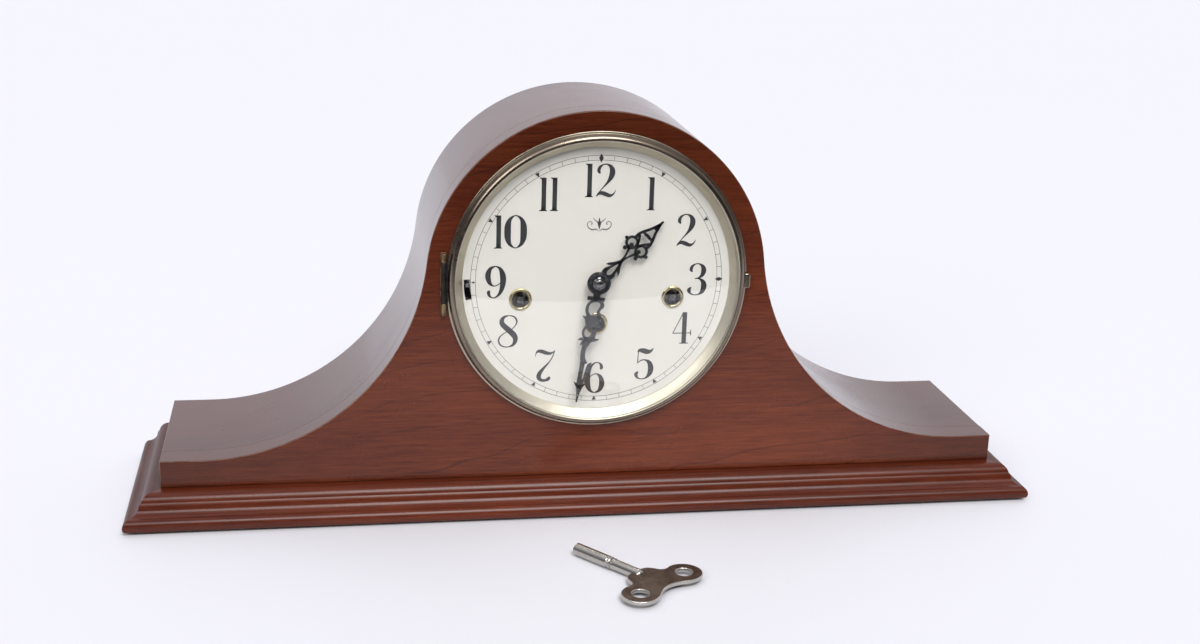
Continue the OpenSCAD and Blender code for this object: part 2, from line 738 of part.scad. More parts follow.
drum_r = 7.5;
pin_reach = 11;
y_drum_end = y_rods + (rod_count - 1) * rod_pitch + 4;
module chime_drum() {
    color("goldenrod") {
        on_arbor(p_drum, y_rear + 1.2, y_rear + 2.6) gear(n_drum, m_train, ph_drum);
        on_arbor(p_drum, y_rear + 2.6, y_drum_end) circle(drum_r);
        on_arbor(p_drum, y_rear_plate, y_rear + 1.2) circle(1.5);
        on_arbor(p_drum, y_drum_end, y_drum_end + 4) circle(1.5);
        for (i = [0 : rod_count - 1], k = [0 : 3])
            on_arbor(p_drum, y_rods + i * rod_pitch - 0.6, y_rods + i * rod_pitch + 0.6)
                rotate(k * 90 + i * 22.5) translate([0, -0.6]) square([pin_reach, 1.2]);
    }
}

// ---- Chimes ----

hammer_arm = 46;
module hammer(i) {
    y = y_rods + i * rod_pitch;
    head_r = 3.6;
    head_z = z_rods - z_dial + rod_r + 1.2;
    color("silver") {
        on_arbor(p_hammers, y - 1.6, y + 1.6) disc(3, 1.25);
        // Tail that the drum's pins lift
        on_arbor(p_hammers, y - 0.6, y + 0.6) translate([-1, 2.6]) square([2, 20.4]);
        // Arm and wire
        on_arbor(p_hammers, y - 0.6, y + 0.6) translate([-hammer_arm, -1]) square([hammer_arm - 2.6, 2]);
    }
    color("goldenrod") translate([p_hammers[0] - hammer_arm, y, z_dial + head_z])
        cylinder(r = 2.2, h = p_hammers[1] - head_z + 1);
}
module hammer_1() { hammer(0); }
module hammer_2() { hammer(1); }
module hammer_3() { hammer(2); }
module hammer_4() { hammer(3); }

module hammer_bracket() {
    y_end = y_drum_end + 2;
    color("silver") {
        on_arbor(p_hammers, y_rear, y_end + 2) circle(1.2);
        difference() {
            on_dial(y_end, y_end + 1.6) hull() {
                translate(p_hammers) circle(4);
                translate(p_drum) circle(4);
                translate(p_bracket_post) circle(4);
            }
            on_arbor(p_drum, y_end - 1, y_end + 3) circle(1.5 + pivot_play);
            on_arbor(p_hammers, y_end - 1, y_end + 3) circle(1.2);
        }
        on_arbor(p_bracket_post, y_rear, y_end) circle(2.5);
    }
}

rod_x = [-80, 92];
module chime_rods() {
    color("goldenrod") for (i = [0 : rod_count - 1])
        translate([rod_x[0] + i * 9, y_rods + i * rod_pitch, z_rods]) rotate([0, 90, 0])
            cylinder(r = rod_r, h = rod_x[1] - rod_x[0] - i * 9);
}
module rod_block() {
    color("dimgray") {
        translate([rod_x[1], y_rods - 6, z_rods - 7]) cube([16, (rod_count - 1) * rod_pitch + 12, 14]);
        translate([rod_x[1] + 2, y_rods + 1, base_h]) cube([12, 13, z_rods - 7 - base_h]);
        translate([rod_x[1] - 6, y_rods - 4, base_h]) cube([28, 23, 4]);
    }
}

module silent_lever() {
    color("silver") {
        on_arbor(lever_pivot, y_plate_front - 3, y_plate_front - 2.2) difference() {
            union() {
                circle(3);
                rotate(lever_rest) translate([2, -1.5]) square([lever_arm - 2 + 1, 3]);
            }
            circle(1 + pivot_play);
        }
        on_arbor(lever_pivot, y_dial - 2.2, y_plate_front - 2.2) rotate(lever_rest)
            translate([lever_arm, 0]) square([1.6, 2.4], center = true);
    }
}

// ---- Winding key ----

key_r = 3.4;
module key_wing() {
    lobe = 10;
    difference() {
        union() {
            hull() {
                for (s = [-6, 6]) translate([key_len - 5.3, s]) circle(9.5);
                translate([key_len - 9.1, 0]) circle(9.5);
            }
            for (s = [-0.5, 0.5]) translate([key_len, s * key_holes]) circle(lobe);
        }
        for (s = [-0.5, 0.5]) translate([key_len, s * key_holes]) circle(4.6);
    }
}
module winding_key() {
    color("gray") translate([-18.4, -107.2, key_r]) rotate(-51.1) {
        difference() {
            union() {
                rotate([0, 90, 0]) cylinder(r = key_r, h = 25);
                rotate([0, 90, 0]) cylinder(r = key_r - 0.5, h = 46);
            }
            translate([-1, -1.9, -1.9]) cube([17, 3.8, 3.8]);
        }
        translate([0, 0, -1]) linear_extrude(2) key_wing();
    }
}

front_panel();
top_wrap();
base_board();
moulding_front();
moulding_left();
moulding_right();
base_felt();
back_panel();
door_leaves();
rear_door();
door_flaps();
door_button();
bezel_leaf();
bezel_ring();
bezel_knuckle();
bezel_reflector();
bezel_glass();
dial_plate();
grommets();
hour_hand();
hour_wheel();
minute_hand();
hand_nut();
cannon_pinion();
centre_wheel();
minute_wheel();
front_plate();
back_plate();
pillars();
brackets();
bracket_screws();
time_barrel();
time_arbor();
second_wheel();
third_wheel();
escape_wheel();
pallet_lever();
balance_wheel();
balance_bridge();
strike_barrel();
strike_arbor();
strike_wheel();
strike_fly();
chime_barrel();
chime_arbor();
chime_wheel();
chime_fly();
chime_drum();
click_time();
click_strike();
click_chime();
hammer_1();
hammer_2();
hammer_3();
hammer_4();
hammer_bracket();
chime_rods();
rod_block();
silent_lever();
winding_key();
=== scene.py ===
"""Looks of a tambour mantel clock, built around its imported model.

Front of the clock faces -Y, +X is to the right and +Z is up. Sizes in the small tables are
millimetres; meshes are in metres.
"""
import math

import bmesh
import bpy
from bpy.props import FloatProperty, FloatVectorProperty, IntProperty, PointerProperty
from mathutils import Matrix, Vector


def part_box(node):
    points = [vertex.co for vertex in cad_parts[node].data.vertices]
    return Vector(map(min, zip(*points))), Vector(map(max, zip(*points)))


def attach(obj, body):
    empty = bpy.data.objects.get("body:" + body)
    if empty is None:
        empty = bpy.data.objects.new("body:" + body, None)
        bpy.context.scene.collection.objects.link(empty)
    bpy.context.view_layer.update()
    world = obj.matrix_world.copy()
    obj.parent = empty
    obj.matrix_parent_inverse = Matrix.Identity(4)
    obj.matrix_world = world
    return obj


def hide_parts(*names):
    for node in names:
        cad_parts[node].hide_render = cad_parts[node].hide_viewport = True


bl_info = {
    "name": "Tambour Mantel Clock",
    "version": (1, 0, 0),
    "blender": (4, 5, 0),
    "location": "3D View > Sidebar > Mantel Clock",
    "description": "Builds the case, dial, hands, bezel and key of a tambour mantel clock",
    "category": "Add Mesh",
}

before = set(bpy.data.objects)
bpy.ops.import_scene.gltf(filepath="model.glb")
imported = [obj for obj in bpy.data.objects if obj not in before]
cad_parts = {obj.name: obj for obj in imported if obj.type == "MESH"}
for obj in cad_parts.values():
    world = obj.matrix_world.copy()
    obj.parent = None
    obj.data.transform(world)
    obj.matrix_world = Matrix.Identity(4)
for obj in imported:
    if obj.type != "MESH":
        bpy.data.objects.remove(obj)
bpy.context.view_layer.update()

MM = 0.001
MERGE = 1e-7                                        # vertices nearer than this are one
case_low, case_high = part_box("front_panel")
wrap_low, wrap_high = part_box("top_wrap")
back_low, back_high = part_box("back_panel")
glass_low, glass_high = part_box("bezel_glass")
knuckle_low, knuckle_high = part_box("bezel_knuckle")
leaf_low, leaf_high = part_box("bezel_leaf")
minute_low, minute_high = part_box("minute_hand")
hour_low, hour_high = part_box("hour_hand")
nut_low, nut_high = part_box("hand_nut")
door_low, door_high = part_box("rear_door")

FACE = case_low.y                                   # front face of the case
DIAL = Vector((0, FACE, (glass_low.z + glass_high.z) / 2))
DIAL_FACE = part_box("dial_plate")[0].y               # printed face of the dial
BASE_TOP = case_low.z                               # where the case stands on its base
HALF_CASE = case_high.x
BASE_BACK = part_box("base_board")[1].y
DIAL_THICKNESS = 0.8 * MM
WINDING_HOLES = ((-42.8, -10.1), (42.8, -10.1), (0, -24.8))


# The key lies flat in front of the clock: the middle of its open end, and its turn about Z
KEY_PLACE = Vector((-18.4, -107.2, 3.4)) * MM
KEY_TURN = math.radians(-51.1)


# ---- Sizes and colours that a user would change ----

def length(name, text, value, low=0.0, high=1.0):
    """A size property in metres."""
    return FloatProperty(name=name, description=text, default=value, min=low, max=high,
                         unit="LENGTH", subtype="DISTANCE", precision=4)


def turn(name, text, value):
    """An angle property, kept in radians."""
    return FloatProperty(name=name, description=text, default=math.radians(value),
                         unit="ROTATION", subtype="ANGLE")


def tint(name, text, value):
    """A colour property."""
    return FloatVectorProperty(name=name, description=text, default=value, size=4,
                               min=0, max=1, subtype="COLOR")


class CaseSizes(bpy.types.PropertyGroup):
    """Sizes of the wooden case."""
    arch_radius: length("Arch radius", "Radius of the arch over the dial", 0.0951)
    flare_radius: length("Flare radius", "Radius of the curve from arch to shoulder", 0.1237)
    shoulder_height: length("Shoulder height", "Height of the ends above the base", 0.0154)
    wrap_thickness: length("Top thickness", "Thickness of the bent top", 0.006)
    opening_radius: length("Opening radius", "Hole behind the dial plate", 0.074)
    dial_rebate: length("Dial rebate", "Radius of the seat of the dial", 0.0795)
    edge_round: length("Edge rounding", "Rounding of the front edges", 0.0009)
    door_opening: length("Door opening", "Radius of the hole in the back", 0.066)
    door_seat: length("Door seat", "Radius of the rebate that the door lies in", 0.070)


class DialSizes(bpy.types.PropertyGroup):
    """Sizes of the printing on the dial and of the bezel."""
    numeral_radius: length("Numeral circle", "Radius of the circle of numerals", 0.0566)
    numeral_height: length("Numeral height", "Height of a numeral", 0.0187)
    track_inner: length("Track inside", "Inner circle of the minute track", 0.0677)
    track_outer: length("Track outside", "Outer circle of the minute track", 0.0703)
    line_width: length("Line width", "Width of a printed line", 0.00022)
    print_height: length("Print height", "How far the print stands up", 0.00006)
    turn_steps: IntProperty(name="Turning steps", default=192, min=24, max=512,
                            description="Steps round the bezel and the glass")


class HandSizes(bpy.types.PropertyGroup):
    """Places of the hands."""
    minute_angle: turn("Minute hand", "Clockwise from twelve", 189)
    hour_angle: turn("Hour hand", "Clockwise from twelve", 45.8)
    edge_round: length("Edge rounding", "Rounding of the edges of the hands", 0.00022)


class Finishes(bpy.types.PropertyGroup):
    """Colours of the materials."""
    wood_light: tint("Wood, light", "Lighter bands of the case", (0.190, 0.041, 0.014, 1))
    wood_dark: tint("Wood, dark", "Darker bands of the case", (0.088, 0.0155, 0.006, 1))
    dial: tint("Dial", "Enamel of the dial", (0.575, 0.555, 0.520, 1))
    brass: tint("Brass", "Plates and wheels", (0.72, 0.47, 0.19, 1))
    bezel: tint("Bezel", "Aged metal of the bezel", (0.27, 0.222, 0.175, 1))
    reflector: tint("Reflector", "Bright cone inside the bezel", (0.62, 0.575, 0.47, 1))
    ink: tint("Ink", "Print and hands", (0.010, 0.010, 0.012, 1))
    floor: tint("Floor", "Studio floor", (0.765, 0.765, 0.805, 1))


# ---- Mesh tools ----

def new_shape():
    """An empty mesh with the two marks that the materials read."""
    bm = bmesh.new()
    bm.verts.layers.float.new("wear")
    bm.verts.layers.float.new("along")
    return bm


def only(kind, elements):
    """The elements of one kind."""
    return [element for element in elements if isinstance(element, kind)]


def draw(start, moves):
    """Draws lines and arcs in millimetres in the plane y = 0, seen from the front.

    A move is (u, v) for a line, or (centre u, centre v, degrees clockwise, steps) for an arc.
    """
    bm = new_shape()
    here = first = bm.verts.new((start[0] * MM, 0, start[1] * MM))
    for move in moves:
        if len(move) == 2:
            here = bmesh.ops.extrude_vert_indiv(bm, verts=[here])["verts"][0]
            here.co = (move[0] * MM, 0, move[1] * MM)
        else:
            swept = bmesh.ops.spin(bm, geom=[here], cent=(move[0] * MM, 0, move[1] * MM),
                                   axis=(0, 1, 0), angle=math.radians(move[2]), steps=move[3])
            here = only(bmesh.types.BMVert, swept["geom_last"])[0]
    if (here.co - first.co).length > MERGE:
        bm.edges.new((here, first))
    bmesh.ops.remove_doubles(bm, verts=bm.verts, dist=MERGE)
    return bm


def circle(radius, centre=(0, 0), steps=96):
    """A closed ring of edges, in millimetres, in the plane y = 0."""
    bm = new_shape()
    middle = Matrix.Translation((centre[0] * MM, 0, centre[1] * MM))
    upright = Matrix.Rotation(math.pi / 2, 4, "X")
    bmesh.ops.create_circle(bm, segments=steps, radius=radius * MM, matrix=middle @ upright)
    return bm


def add(target, part):
    """Moves one shape into another."""
    mesh = bpy.data.meshes.new("part")
    part.to_mesh(mesh)
    part.free()
    target.from_mesh(mesh)
    bpy.data.meshes.remove(mesh)
    return target


def joined(*parts):
    """One shape of several."""
    whole = new_shape()
    for part in parts:
        add(whole, part)
    return whole


def fill(bm):
    """Fills flat outlines, leaving the inner ones open."""
    bmesh.ops.triangle_fill(bm, use_beauty=True, use_dissolve=True, edges=bm.edges, normal=(0, -1, 0))
    return bm


def thicken(bm, front, back):
    """Gives a flat shape its thickness, from y = front to y = back."""
    bmesh.ops.translate(bm, verts=bm.verts, vec=(0, front, 0))
    grown = bmesh.ops.extrude_face_region(bm, geom=bm.faces[:])
    moved = only(bmesh.types.BMVert, grown["geom"])
    bmesh.ops.translate(bm, verts=moved, vec=(0, back - front, 0))
    bmesh.ops.recalc_face_normals(bm, faces=bm.faces)
    return bm


def soften(bm, width, segments=2, sharper=30, where=None):
    """Rounds the sharp edges of a shape and marks their crests as worn."""
    bmesh.ops.recalc_face_normals(bm, faces=bm.faces)
    edges = [edge for edge in bm.edges
             if edge.is_manifold and edge.calc_face_angle() > math.radians(sharper)
             and (where is None or where(edge))]
    made = bmesh.ops.bevel(bm, geom=edges, offset=width, offset_type="OFFSET", segments=segments,
                           profile=0.5, affect="EDGES", clamp_overlap=True, material=-1)
    wear = bm.verts.layers.float["wear"]
    rounded = set(made["faces"])
    for face in rounded:
        for vert in face.verts:
            if all(other in rounded for other in vert.link_faces):
                vert[wear] = 1
    return bm


def lathe(points, centre, axis, steps, closed=False):
    """Turns a chain of points, in metres, once about an axis."""
    bm = new_shape()
    verts = [bm.verts.new(point) for point in points]
    pairs = list(zip(verts, verts[1:]))
    if closed:
        pairs.append((verts[-1], verts[0]))
    edges = [bm.edges.new(pair) for pair in pairs]
    bmesh.ops.spin(bm, geom=verts + edges, cent=centre, axis=axis, angle=2 * math.pi,
                   steps=steps, use_merge=True)
    return bm


def turned(section, steps=192, centre=DIAL, closed=True):
    """Turns a section of (radius, distance in front of the case face) about an axis along Y."""
    points = [(centre.x + r * MM, FACE - d * MM, centre.z) for r, d in section]
    bm = lathe(points, (centre.x, FACE, centre.z), (0, 1, 0), steps, closed)
    bmesh.ops.remove_doubles(bm, verts=bm.verts, dist=MERGE)
    return bm


def smooth_path(stations, steps, closed):
    """Stations along a smooth curve through (u, v, width) stations."""
    count = len(stations)
    out = []
    for i in range(count if closed else count - 1):
        if closed:
            four = [stations[(i + k) % count] for k in (-1, 0, 1, 2)]
        else:
            four = [stations[max(0, min(count - 1, i + k))] for k in (-1, 0, 1, 2)]
        for step in range(steps):
            t = step / steps
            weights = (-t ** 3 + 2 * t ** 2 - t, 3 * t ** 3 - 5 * t ** 2 + 2,
                       -3 * t ** 3 + 4 * t ** 2 + t, t ** 3 - t ** 2)
            out.append([sum(w * p[axis] for w, p in zip(weights, four)) / 2 for axis in range(3)])
    if not closed:
        out.append(list(stations[-1]))
    return out


def ribbon(stations, steps=6, closed=False):
    """A flat stroke of changing width through (u, v, width) stations in millimetres."""
    path = smooth_path(stations, steps, closed)
    count = len(path)
    bm = new_shape()
    sides = []
    for i, (u, v, width) in enumerate(path):
        before = path[(i - 1) % count] if closed else path[max(0, i - 1)]
        after = path[(i + 1) % count] if closed else path[min(count - 1, i + 1)]
        du, dv = after[0] - before[0], after[1] - before[1]
        size = math.hypot(du, dv) or 1
        half = max(width, 0.05) / 2 / size
        sides.append(((u - dv * half, v + du * half), (u + dv * half, v - du * half)))
    if closed:
        sides.append(sides[0])
    left, right = (bm.verts.new((u * MM, 0, v * MM)) for u, v in sides[0])
    edge = bm.edges.new((left, right))
    for pair in sides[1:]:
        grown = bmesh.ops.extrude_edge_only(bm, edges=[edge])["geom"]
        fresh = only(bmesh.types.BMVert, grown)
        new_left = [v for v in fresh if any(e.other_vert(v) is left for e in v.link_edges)][0]
        new_right = [v for v in fresh if v is not new_left][0]
        new_left.co = (pair[0][0] * MM, 0, pair[0][1] * MM)
        new_right.co = (pair[1][0] * MM, 0, pair[1][1] * MM)
        edge = [e for e in new_left.link_edges if e.other_vert(new_left) is new_right][0]
        left, right = new_left, new_right
    bmesh.ops.remove_doubles(bm, verts=bm.verts, dist=MERGE)
    return bm


def spot(centre, radius, steps=20):
    """A filled disc in the plane y = 0, in millimetres."""
    return fill(circle(radius, centre, steps))


def face_place(u, v, angle=0.0):
    """Places a flat drawing on the dial: turned clockwise by angle, then moved to (u, v)."""
    return Matrix.Translation((u, 0, DIAL.z + v)) @ Matrix.Rotation(angle, 4, "Y")


def placed(bm, matrix):
    """Moves a shape by a matrix."""
    bmesh.ops.transform(bm, matrix=matrix, verts=bm.verts)
    return bm


def piece(name, bm, body, finish, stands_for=(), smooth=True, second=None):
    """Makes a finished piece of a shape and ties it to the frame."""
    bmesh.ops.remove_doubles(bm, verts=bm.verts, dist=MERGE)
    bmesh.ops.recalc_face_normals(bm, faces=bm.faces)
    for face in bm.faces:
        face.smooth = smooth
    mesh = bpy.data.meshes.new(name)
    bm.to_mesh(mesh)
    bm.free()
    made = bpy.data.objects.new(name, mesh)
    bpy.context.scene.collection.objects.link(made)
    mesh.materials.append(material(finish))
    if second:
        mesh.materials.append(material(second))
    if smooth:
        mesh.set_sharp_from_angle(angle=math.radians(50))
        shade = made.modifiers.new("Even shading", "WEIGHTED_NORMAL")
        shade.keep_sharp = True
        shade.weight = 60
    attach(made, body)
    if stands_for:
        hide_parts(*stands_for)
    return made


# ---- Material tools ----

class Graph:
    """Adds nodes to a tree and joins them."""

    def __init__(self, tree):
        self.tree = tree

    def feed(self, socket, value):
        """Links an output to a socket, or sets the socket's value."""
        if isinstance(value, bpy.types.NodeSocket):
            self.tree.links.new(value, socket)
        else:
            socket.default_value = value

    def add(self, kind, inputs=None, **settings):
        """A node of a kind, its settings made and its inputs fed."""
        node = self.tree.nodes.new("ShaderNode" + kind)
        for key, value in settings.items():
            setattr(node, key, value)
        self.dress(node, inputs or {})
        return node

    def dress(self, node, values):
        """Feeds several inputs of a node."""
        for key, value in values.items():
            self.feed(node.inputs[key], value)

    def noise(self, vector, scale, detail=2.0, roughness=0.5, distortion=0.0):
        """A noise value between 0 and 1."""
        return self.add("TexNoise", {"Vector": vector, "Scale": scale, "Detail": detail,
                                     "Roughness": roughness, "Distortion": distortion}).outputs[0]

    def stretch(self, vector, scale, rotation=(0, 0, 0), location=(0, 0, 0)):
        """A vector scaled, turned and moved."""
        return self.add("Mapping", {"Vector": vector, "Scale": scale, "Rotation": rotation,
                                    "Location": location}).outputs[0]

    def span(self, value, low, high, to_low=0.0, to_high=1.0):
        """A value spread from one range to another, held at the ends."""
        return self.add("MapRange", {"Value": value, "From Min": low, "From Max": high,
                                     "To Min": to_low, "To Max": to_high}).outputs[0]

    def math(self, operation, a, b=0.5):
        """One sum of two values."""
        return self.add("Math", {0: a, 1: b}, operation=operation).outputs[0]

    def blend(self, amount, a, b, kind="MIX"):
        """Two colours mixed."""
        node = self.add("Mix", data_type="RGBA", blend_type=kind)
        self.feed(node.inputs[0], amount)
        self.feed(node.inputs[6], a)
        self.feed(node.inputs[7], b)
        return node.outputs[2]

    def dimmed(self, colour, tone):
        """A colour multiplied by a value."""
        grey = self.add("CombineColor", {0: tone, 1: tone, 2: tone}).outputs[0]
        return self.blend(1.0, colour, grey, "MULTIPLY")

    def bump(self, height, distance, strength=1.0):
        """A normal bent by a height."""
        return self.add("Bump", {"Height": height, "Distance": distance,
                                 "Strength": strength}).outputs[0]


def effect(name, inputs, outputs):
    """A new node group with named inputs and outputs, and its graph."""
    tree = bpy.data.node_groups.new(name, "ShaderNodeTree")
    for label, kind, value in inputs:
        socket = tree.interface.new_socket(label, in_out="INPUT", socket_type="NodeSocket" + kind)
        if value is not None:
            socket.default_value = value
    for label, kind in outputs:
        tree.interface.new_socket(label, in_out="OUTPUT", socket_type="NodeSocket" + kind)
    graph = Graph(tree)
    given = tree.nodes.new("NodeGroupInput").outputs
    return tree, graph, given, tree.nodes.new("NodeGroupOutput").inputs


FIGURE_LINE = (0.036, 0.009, 0.006, 1)               # dark lines of the figure
BARE_WOOD = (0.33, 0.18, 0.12, 1)                    # where the lacquer has worn off


def build_wood_grain():
    """Long fibres, soft bands and a few dark wavy lines, running along X."""
    tree, g, given, out = effect(
        "wood_grain",
        [("Vector", "Vector", None), ("Light", "Color", (0.3, 0.1, 0.05, 1)),
         ("Dark", "Color", (0.1, 0.03, 0.02, 1)), ("Figure", "Float", 0.5)],
        [("Color", "Color"), ("Fibre", "Float"), ("Figure", "Float")])
    at = given["Vector"]
    broad = g.noise(g.stretch(at, (3, 26, 26)), 1.0, 4.0, 0.6, 0.6)
    cloud = g.noise(g.stretch(at, (5, 9, 9)), 1.0, 3.0)
    fibre = g.noise(g.stretch(at, (55, 1250, 1250)), 1.0, 3.0, 0.65)
    streak = g.noise(g.stretch(at, (14, 330, 330)), 1.0, 4.0, 0.65)
    fleck = g.noise(g.stretch(at, (170, 1900, 1900)), 1.0, 2.0, 0.5)
    wander = g.noise(g.stretch(at, (5, 14, 14)), 1.0, 3.0)
    parts = g.add("SeparateXYZ", {0: at}).outputs
    sloped = g.math("ADD", g.math("MULTIPLY", parts[2], 112.0), g.math("MULTIPLY", parts[0], -17.0))
    rings = g.math("ADD", sloped, g.math("MULTIPLY", wander, 7.0))
    line = g.math("PINGPONG", rings, 1.0)
    thin = g.span(line, 0.0, 0.06, 1.0, 0.0)
    patch = g.span(g.noise(g.stretch(at, (5, 10, 10), location=(3, 1, 7)), 1.0, 2.0), 0.34, 0.50)
    figure = g.math("MULTIPLY", g.math("MULTIPLY", thin, patch), given["Figure"])
    tone = g.math("ADD", g.math("MULTIPLY", broad, 0.34), g.math("MULTIPLY", streak, 0.20))
    tone = g.math("ADD", tone, g.math("MULTIPLY", fibre, 0.46))
    tone = g.span(tone, 0.38, 0.62)
    colour = g.blend(tone, given["Dark"], given["Light"])
    shade = g.math("MULTIPLY", g.span(cloud, 0.3, 0.7, 0.82, 1.14),
                   g.span(fleck, 0.60, 0.74, 1.0, 0.74))
    colour = g.blend(figure, g.dimmed(colour, shade), FIGURE_LINE)
    g.feed(out["Color"], colour)
    g.feed(out["Fibre"], fibre)
    g.feed(out["Figure"], figure)
    return tree


def build_edge_wear():
    """A broken mask along the crests that the mesh marks as worn."""
    tree, g, given, out = effect(
        "edge_wear",
        [("Vector", "Vector", None), ("Scale", "Float", 120.0), ("Amount", "Float", 0.5)],
        [("Mask", "Float")])
    mark = g.add("Attribute", attribute_name="wear").outputs["Fac"]
    broken = g.noise(given["Vector"], given["Scale"], 4.0, 0.65)
    limit = g.math("SUBTRACT", 1.0, given["Amount"])
    over = g.math("SUBTRACT", g.math("MULTIPLY", broken, mark), g.math("MULTIPLY", limit, 0.7))
    g.feed(out["Mask"], g.span(over, 0.0, 0.10))
    return tree


def build_tarnish():
    """Cloudy patches with specks, for aged metal and handled surfaces."""
    tree, g, given, out = effect(
        "tarnish",
        [("Vector", "Vector", None), ("Scale", "Float", 60.0),
         ("Low", "Float", 0.45), ("High", "Float", 0.62)],
        [("Mask", "Float"), ("Speck", "Float")])
    patch = g.noise(given["Vector"], given["Scale"], 5.0, 0.62, 0.4)
    fine = g.noise(given["Vector"], g.math("MULTIPLY", given["Scale"], 9.0), 3.0, 0.6)
    g.feed(out["Mask"], g.span(patch, given["Low"], given["High"]))
    g.feed(out["Speck"], g.span(fine, 0.66, 0.74))
    return tree


def build_brushing():
    """Fine parallel lines left by a brush or a lathe tool, running along X."""
    tree, g, given, out = effect(
        "brushing",
        [("Vector", "Vector", None)], [("Height", "Float"), ("Tone", "Float")])
    lines = g.noise(g.stretch(given["Vector"], (40, 3800, 3800)), 1.0, 2.0, 0.6)
    g.feed(out["Height"], lines)
    g.feed(out["Tone"], g.span(lines, 0.25, 0.75, 0.86, 1.10))
    return tree


EFFECTS = {"wood_grain": build_wood_grain, "edge_wear": build_edge_wear,
           "tarnish": build_tarnish, "brushing": build_brushing}


def place_effect(g, name, inputs):
    """Puts a shared effect into a material and returns its outputs."""
    tree = bpy.data.node_groups.get(name) or EFFECTS[name]()
    node = g.tree.nodes.new("ShaderNodeGroup")
    node.node_tree = tree
    g.dress(node, inputs)
    return node.outputs


def start_material(name):
    """An empty material with its shader, its graph and its object coordinates."""
    made = bpy.data.materials.new("clock_" + name)
    made.use_nodes = True
    g = Graph(made.node_tree)
    shader = made.node_tree.nodes["Principled BSDF"]
    return made, g, shader, g.add("TexCoord").outputs["Object"]


def wood(name, light, dark, turn_z=0.0, figure=0.62, rough=0.26, coat=0.18, coat_rough=0.12,
         spec=0.26, wear=0.4, shift=0.0, along=False, painted_shade_top_and_ends=False):
    """Lacquered wood with its grain along X, turned about Z, or along the bent top."""
    made, g, shader, at = start_material(name)
    if along:
        run = g.add("Attribute", attribute_name="along").outputs["Fac"]
        parts = g.add("SeparateXYZ", {0: at})
        at_grain = g.add("CombineXYZ", {0: run, 1: 0.0, 2: parts.outputs[1]}).outputs[0]
    else:
        at_grain = at
    at_grain = g.stretch(at_grain, (1, 1, 1), (0, 0, turn_z), (shift, shift, shift))
    grain = place_effect(g, "wood_grain", {"Vector": at_grain, "Light": light, "Dark": dark,
                                           "Figure": figure})
    worn = place_effect(g, "edge_wear", {"Vector": at, "Scale": 70.0, "Amount": 0.42})["Mask"]
    marks = place_effect(g, "tarnish", {"Vector": at, "Scale": 14.0, "Low": 0.5, "High": 0.8})
    colour = g.blend(g.math("MULTIPLY", worn, wear), grain["Color"], BARE_WOOD)
    if painted_shade_top_and_ends:
        # Painted shade, partly the wood's own tone: the colour is darkened towards the top of the arch
        # and towards the ends of the case
        parts = g.add("SeparateXYZ", {0: at}).outputs
        colour = g.dimmed(colour, g.span(parts[2], 0.09, 0.215, 1.0, 0.66))
        far = g.math("ABSOLUTE", g.math("ADD", parts[0], 0.02))
        colour = g.dimmed(colour, g.span(far, 0.13, 0.25, 1.0, 0.50))
    rough_now = g.span(marks["Mask"], 0, 1, rough, rough + 0.10)
    g.dress(shader, {
        "Base Color": colour,
        "Roughness": g.math("ADD", rough_now, g.math("MULTIPLY", worn, 0.3)),
        "Coat Weight": coat, "Coat Roughness": coat_rough, "Specular IOR Level": spec,
        "Normal": g.bump(grain["Fibre"], 0.00003, 0.16)})
    return made


def metal(name, colour, dull, rough, scale, low=0.45, high=0.65, worn_colour=None,
          turn_z=0.0, dull_rough=0.18, depth=0.00002):
    """Brushed metal with patches of tarnish and brighter worn edges."""
    made, g, shader, at = start_material(name)
    aged = place_effect(g, "tarnish", {"Vector": at, "Scale": scale, "Low": low, "High": high})
    lines = place_effect(g, "brushing", {"Vector": g.stretch(at, (1, 1, 1), (0, 0, turn_z))})
    mixed = g.blend(aged["Mask"], colour, dull)
    mixed = g.blend(g.math("MULTIPLY", aged["Speck"], 0.5), mixed, dull)
    mixed = g.dimmed(mixed, lines["Tone"])
    if worn_colour:
        worn = place_effect(g, "edge_wear", {"Vector": at, "Scale": 300.0, "Amount": 0.85})["Mask"]
        mixed = g.blend(worn, mixed, worn_colour)
    g.dress(shader, {
        "Base Color": mixed, "Metallic": 1.0,
        "Roughness": g.span(aged["Mask"], 0, 1, rough, rough + dull_rough),
        "Normal": g.bump(lines["Height"], depth, 0.4)})
    return made


def enamel(name, colour):
    """The printed dial: matt off-white with faint specks of age."""
    made, g, shader, at = start_material(name)
    aged = place_effect(g, "tarnish", {"Vector": at, "Scale": 24.0, "Low": 0.4, "High": 0.9})
    yellowing = g.math("MULTIPLY", aged["Mask"], 0.12)
    g.dress(shader, {
        "Base Color": g.blend(yellowing, colour, (0.50, 0.45, 0.35, 1)),
        "Roughness": g.span(aged["Mask"], 0, 1, 0.42, 0.52),
        "Normal": g.bump(g.noise(at, 1800.0, 2.0), 0.00001, 0.25)})
    return made


def lacquer(name, colour):
    """Glossy black paint on a stamped sheet."""
    made, g, shader, at = start_material(name)
    uneven = g.noise(at, 420.0, 3.0, 0.6)
    g.dress(shader, {
        "Base Color": g.blend(g.span(uneven, 0.55, 0.8, 0, 1), colour, (0.04, 0.04, 0.044, 1)),
        "Roughness": g.span(uneven, 0.3, 0.7, 0.16, 0.30),
        "Coat Weight": 0.6, "Coat Roughness": 0.12,
        "Normal": g.bump(uneven, 0.00003, 0.3)})
    return made


def ink(name, colour):
    """Matt printing ink."""
    made, g, shader, at = start_material(name)
    uneven = g.noise(at, 900.0, 3.0)
    g.dress(shader, {"Base Color": g.blend(uneven, colour, (0.030, 0.030, 0.034, 1)),
                     "Roughness": g.span(uneven, 0.3, 0.7, 0.45, 0.6)})
    return made


